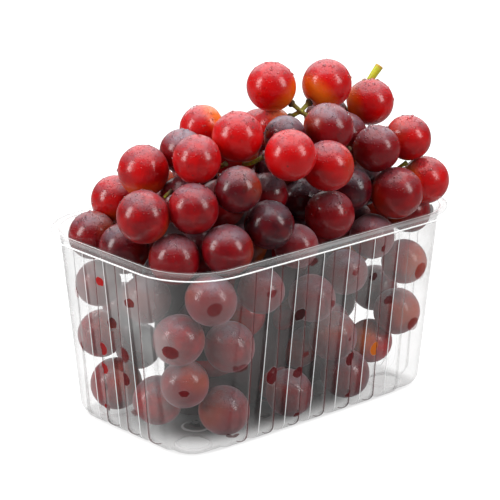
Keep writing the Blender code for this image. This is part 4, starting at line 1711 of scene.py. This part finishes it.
@dataclass
class Stalks:
    """The forked stalk at the crown, the cut end behind it and the short stems between berries."""

    heap: Heap
    arm: float = 1.1
    knob: float = 2.05
    seed: int = 5

    def bow(self, start: Vector, end: Vector, sag: Vector, count: int = 7) -> list[Vector]:
        """Lay points on a gentle arch.

        Args:
            start: its first point.
            end: its last point.
            sag: how far its middle is off the straight line.
            count: how many points it has.

        Returns:
            The points.
        """
        steps = count - 1
        return [start.lerp(end, k / steps) + sag * math.sin(math.pi * k / steps) for k in range(count)]

    def fork(self, bark: Material) -> Piece:
        """Model the fork: three arms that end in knobs, and the stem down into the heap.

        Args:
            bark: the stalk's material.

        Returns:
            The fork.
        """
        stalk = Stalk("stalk_fork_bark")
        shape = bmesh.new()
        joint = Vector(self.heap.fork_joint)
        down = [joint] + [Vector(point) for point in self.heap.fork_stem]
        stalk.sweep(shape, down, [1.35, 1.2, 1.15, 1.1], [0.55, 0.45, 0.4, 0.4])
        for centre, radius in self.heap.fork_arms:
            away = (joint - Vector(centre)).normalized()
            foot = Vector(centre) + away * (radius + 0.1)
            path = self.bow(joint, foot, Vector((0.0, 0.0, 0.25)))
            radii = [1.3, 1.05, self.arm, self.arm, 1.15, self.knob, self.knob * 0.9]
            ages = [0.55, 0.45, 0.35, 0.4, 0.6, 0.95, 1.0]
            stalk.sweep(shape, path, radii, ages)
        return stalk.fuse(shape, bark, 0.22, ("stalk_fork",))

    def cut_end(self, bark: Material) -> Piece:
        """Model the long stalk that leans out of the heap to its cut end.

        Args:
            bark: the stalk's material.

        Returns:
            The stalk.
        """
        stalk = Stalk("stalk_end_bark")
        shape = bmesh.new()
        points = [Vector(point) for point in self.heap.end_path]
        path, radii = [], []
        widths = (1.4, 1.5, 1.55, 1.65, 1.8, 2.1)
        for k in range(len(points) - 1):
            for step in range(4):
                share = step / 4
                path.append(points[k].lerp(points[k + 1], share))
                radii.append(widths[k] + (widths[k + 1] - widths[k]) * share)
        path.append(points[-1])
        radii.append(widths[-1])
        for _ in range(3):
            path = [path[0]] + [(a + b * 2 + c) / 4 for a, b, c in zip(path, path[1:], path[2:])] + [path[-1]]
        ages = [0.5 - 0.5 * k / (len(path) - 1) for k in range(len(path))]
        stalk.sweep(shape, path, radii, ages, (0.0, 1.0))
        return stalk.fuse(shape, bark, 0.3, ("stalk_end",))

    def stems(self, bark: Material) -> Piece:
        """Model the short stems that show between the berries.

        Args:
            bark: the stalk's material.

        Returns:
            The joined piece.
        """
        stalk = Stalk("stalk_stems")
        shape = bmesh.new()
        runs = (
            ([(-24.3, -21.5, 128.0), (-23.1, -25.1, 128.8), (-21.6, -28.3, 130.7), (-19.2, -29.8, 132.2)],
             0.95, 0.2),
            ([(-62.0, -10.0, 117.0), (-61.2, -12.0, 119.0), (-60.6, -13.4, 120.4)], 0.9, 0.6),
            ([(-37.8, -21.0, 129.0), (-37.2, -22.6, 130.4), (-36.6, -24.0, 131.2)], 1.0, 0.45),
            ([(27.6, -36.6, 127.4), (26.6, -38.6, 129.0), (25.8, -40.4, 130.0)], 0.9, 0.5),
            ([(63.6, -35.2, 112.0), (64.4, -37.0, 113.6), (65.2, -39.0, 115.0)], 0.9, 0.05),
        )
        for points, radius, age in runs:
            path = [Vector(point) for point in points]
            radii = [radius] * (len(path) - 1) + [radius * 1.4]
            stalk.sweep(shape, path, radii, [age] * (len(path) - 1) + [min(age + 0.4, 1.0)])
        piece = finish_piece(stalk.name, shape, [bark])
        settle_piece(piece, Slot.STALK)
        return piece


# ---------------------------------------------------------------------------- studio
@dataclass(frozen=True)
class SoftBox:
    """A soft light: its way in degrees from the camera's and the horizon, metres and watts."""

    name: str
    turn: float
    rise: float
    away: float
    size: tuple[float, float]
    power: float


def direction(azimuth: float, elevation: float) -> Vector:
    """Return the unit vector that points that way, from angles in radians."""
    level = math.cos(elevation)
    return Vector((math.sin(azimuth) * level, -math.cos(azimuth) * level, math.sin(elevation)))


@dataclass
class Studio:
    """A pale floor, soft lights and the camera."""

    focal: float = 2700.0
    picture: float = 500.0
    sensor: float = 36.0
    azimuth: float = math.radians(-41.26)
    elevation: float = math.radians(18.29)
    distance: float = 1311.6
    target: Triple = (0.0, 0.0, 47.0)
    aside: float = -0.8
    above: float = 26.8
    lens_clip: tuple[float, float] = (0.05, 50.0)
    floor_size: float = 6.0
    floor_grey: float = 0.20
    floor_drop: float = 0.05
    floor_glow: float = 1.0
    # middle and half-size of the painted shadow under the heap
    dim_middle: float = -0.006
    dim_half: tuple[float, float] = (0.072, 0.043)
    # half-size of the painted shadow under the tray, and the share of glow it leaves
    shaded: tuple[float, float] = (0.077, 0.044)
    shade_left: float = 0.62
    world: float = 0.11
    aim: Triple = (0.0, 0.0, 0.08)
    lights: tuple[SoftBox, ...] = (
        SoftBox("top", 180.0, 80.0, 1.3, (1.7, 1.7), 21.5),
        SoftBox("left", -66.0, 26.0, 1.5, (0.5, 1.0), 14.0),
        SoftBox("right", 62.0, 30.0, 1.5, (0.5, 1.0), 11.0),
        SoftBox("behind", 180.0, 30.0, 1.9, (2.6, 1.4), 17.0),
    )

    def camera(self) -> None:
        """Place the camera and make it the scene's."""
        back = direction(self.azimuth, self.elevation)
        right = Vector((math.cos(self.azimuth), math.sin(self.azimuth), 0.0))
        up = back.cross(right)
        lens = bpy.data.cameras.new("camera")
        lens.sensor_width = self.sensor
        lens.lens = self.focal / self.picture * self.sensor
        lens.clip_start, lens.clip_end = self.lens_clip
        camera = bpy.data.objects.new("camera", lens)
        place = Vector(self.target) + right * self.aside + up * self.above + back * self.distance
        turn = Matrix((right, up, back)).transposed().to_4x4()
        camera.matrix_world = Matrix.Translation(place * MM) @ turn
        bpy.context.scene.collection.objects.link(camera)
        bpy.context.scene.camera = camera

    def floor(self) -> None:
        """Lay the pale floor just under the tray, with a painted shadow under the heap and the tray."""
        white = Finish("pale_floor")
        white.put(Socket.BASE, (self.floor_grey,) * 3 + (1.0,))
        white.put(Socket.ROUGHNESS, 0.9)
        spot = white.node("SeparateXYZ")
        white.feed(spot.inputs[0], white.place())
        along = white.maths("SUBTRACT", spot.outputs[0], self.dim_middle)
        along = white.maths("DIVIDE", along, self.dim_half[0])
        across = white.maths("DIVIDE", spot.outputs[1], self.dim_half[1])
        away = white.maths("ADD", *(white.maths("POWER", white.maths("ABSOLUTE", way), 3.0)
                                    for way in (along, across)))
        # the glow fades towards the middle of the heap and under the tray: a painted shadow
        glow = white.product(white.node("LightPath").outputs["Is Camera Ray"], self.floor_glow,
                             white.ramp(away, 0.2, 0.95), self.under_tray(white, spot))
        white.put(Socket.EMISSION, (1.0, 1.0, 1.0, 1.0))
        white.put(Socket.EMISSION_STRENGTH, glow)
        shape = bmesh.new()
        bmesh.ops.create_grid(shape, x_segments=4, y_segments=4, size=self.floor_size / 2 / MM)
        bmesh.ops.translate(shape, vec=(0.0, 0.0, -self.floor_drop), verts=shape.verts)
        finish_piece("floor", shape, [white.material])

    def under_tray(self, white: Finish, spot: bpy.types.Node) -> Output:
        """Return the share of the glow that is left on the floor, a painted shadow: less under the tray, all
        beside it.

        Args:
            white: the floor's finish.
            spot: the node that splits the floor's coordinates.

        Returns:
            The share.
        """
        shares = [white.maths("DIVIDE", spot.outputs[k], half) for k, half in enumerate(self.shaded)]
        reach = [white.maths("POWER", white.maths("ABSOLUTE", share), 8.0) for share in shares]
        return white.ramp(white.maths("ADD", *reach), 0.6, 1.3, self.shade_left, 1.0)

    def light(self, box: SoftBox) -> None:
        """Hang a soft box round the object.

        Args:
            box: the light.
        """
        lamp = bpy.data.lights.new(box.name, "AREA")
        lamp.shape = "RECTANGLE"
        lamp.size, lamp.size_y = box.size
        lamp.energy = box.power
        way = direction(self.azimuth + math.radians(box.turn), math.radians(box.rise))
        held = bpy.data.objects.new(box.name, lamp)
        turn = way.to_track_quat("Z", "Y").to_matrix().to_4x4()
        held.matrix_world = Matrix.Translation(Vector(self.aim) + way * box.away) @ turn
        bpy.context.scene.collection.objects.link(held)

    def build(self) -> None:
        """Set up camera, floor, world and lights."""
        scene = bpy.context.scene
        self.camera()
        self.floor()
        world = bpy.data.worlds.new("studio")
        world.use_nodes = True
        sky = world.node_tree.nodes["Background"]
        sky.inputs["Color"].default_value = (1.0, 1.0, 1.0, 1.0)
        sky.inputs["Strength"].default_value = self.world
        scene.world = world
        scene.view_settings.view_transform = "Standard"
        scene.view_settings.look = "None"
        scene.cycles.transparent_max_bounces = 24
        for box in self.lights:
            self.light(box)


def main() -> None:
    """Build every piece in order."""
    logging.basicConfig(level=logging.INFO, format="%(name)s: %(message)s")
    Studio().build()
    LOG.info("studio set")
    tray = Tray()
    heap = Heap(tray)
    heap.pack()
    LOG.info("packed %d berries", len(heap.berries))
    sheet = ClearSheet(tray.dome_feet())
    outer, inner = (sheet.make(f"plastic_{face.value}", face) for face in (Face.OUTER, Face.INNER))
    pieces = [tray.build(heap.berries, outer, inner)]
    berries = Berries(heap)
    misted = GrapeSkin(sheen=0.55, sheen_spread=0.5)
    pieces += berries.build(GrapeSkin().make("grape_skin"), misted.make("grape_skin_misted"))
    pieces.append(HeapCore(tray).build(HeapShade().make("heap_shade")))
    first = len(berries.wall_looks)
    last = first + len(berries.rim_looks) + len(berries.crown_looks)
    pieces.append(WaterBeads(heap, first, last).build(Water().make("water")))
    bark = StalkBark().make("stalk_bark")
    stalks = Stalks(heap)
    pieces += [stalks.fork(bark), stalks.cut_end(bark), stalks.stems(bark)]
    for piece in pieces:
        LOG.info("%s: %d faces", piece.name, len(piece.data.polygons))


if __name__ == "__main__":
    main()
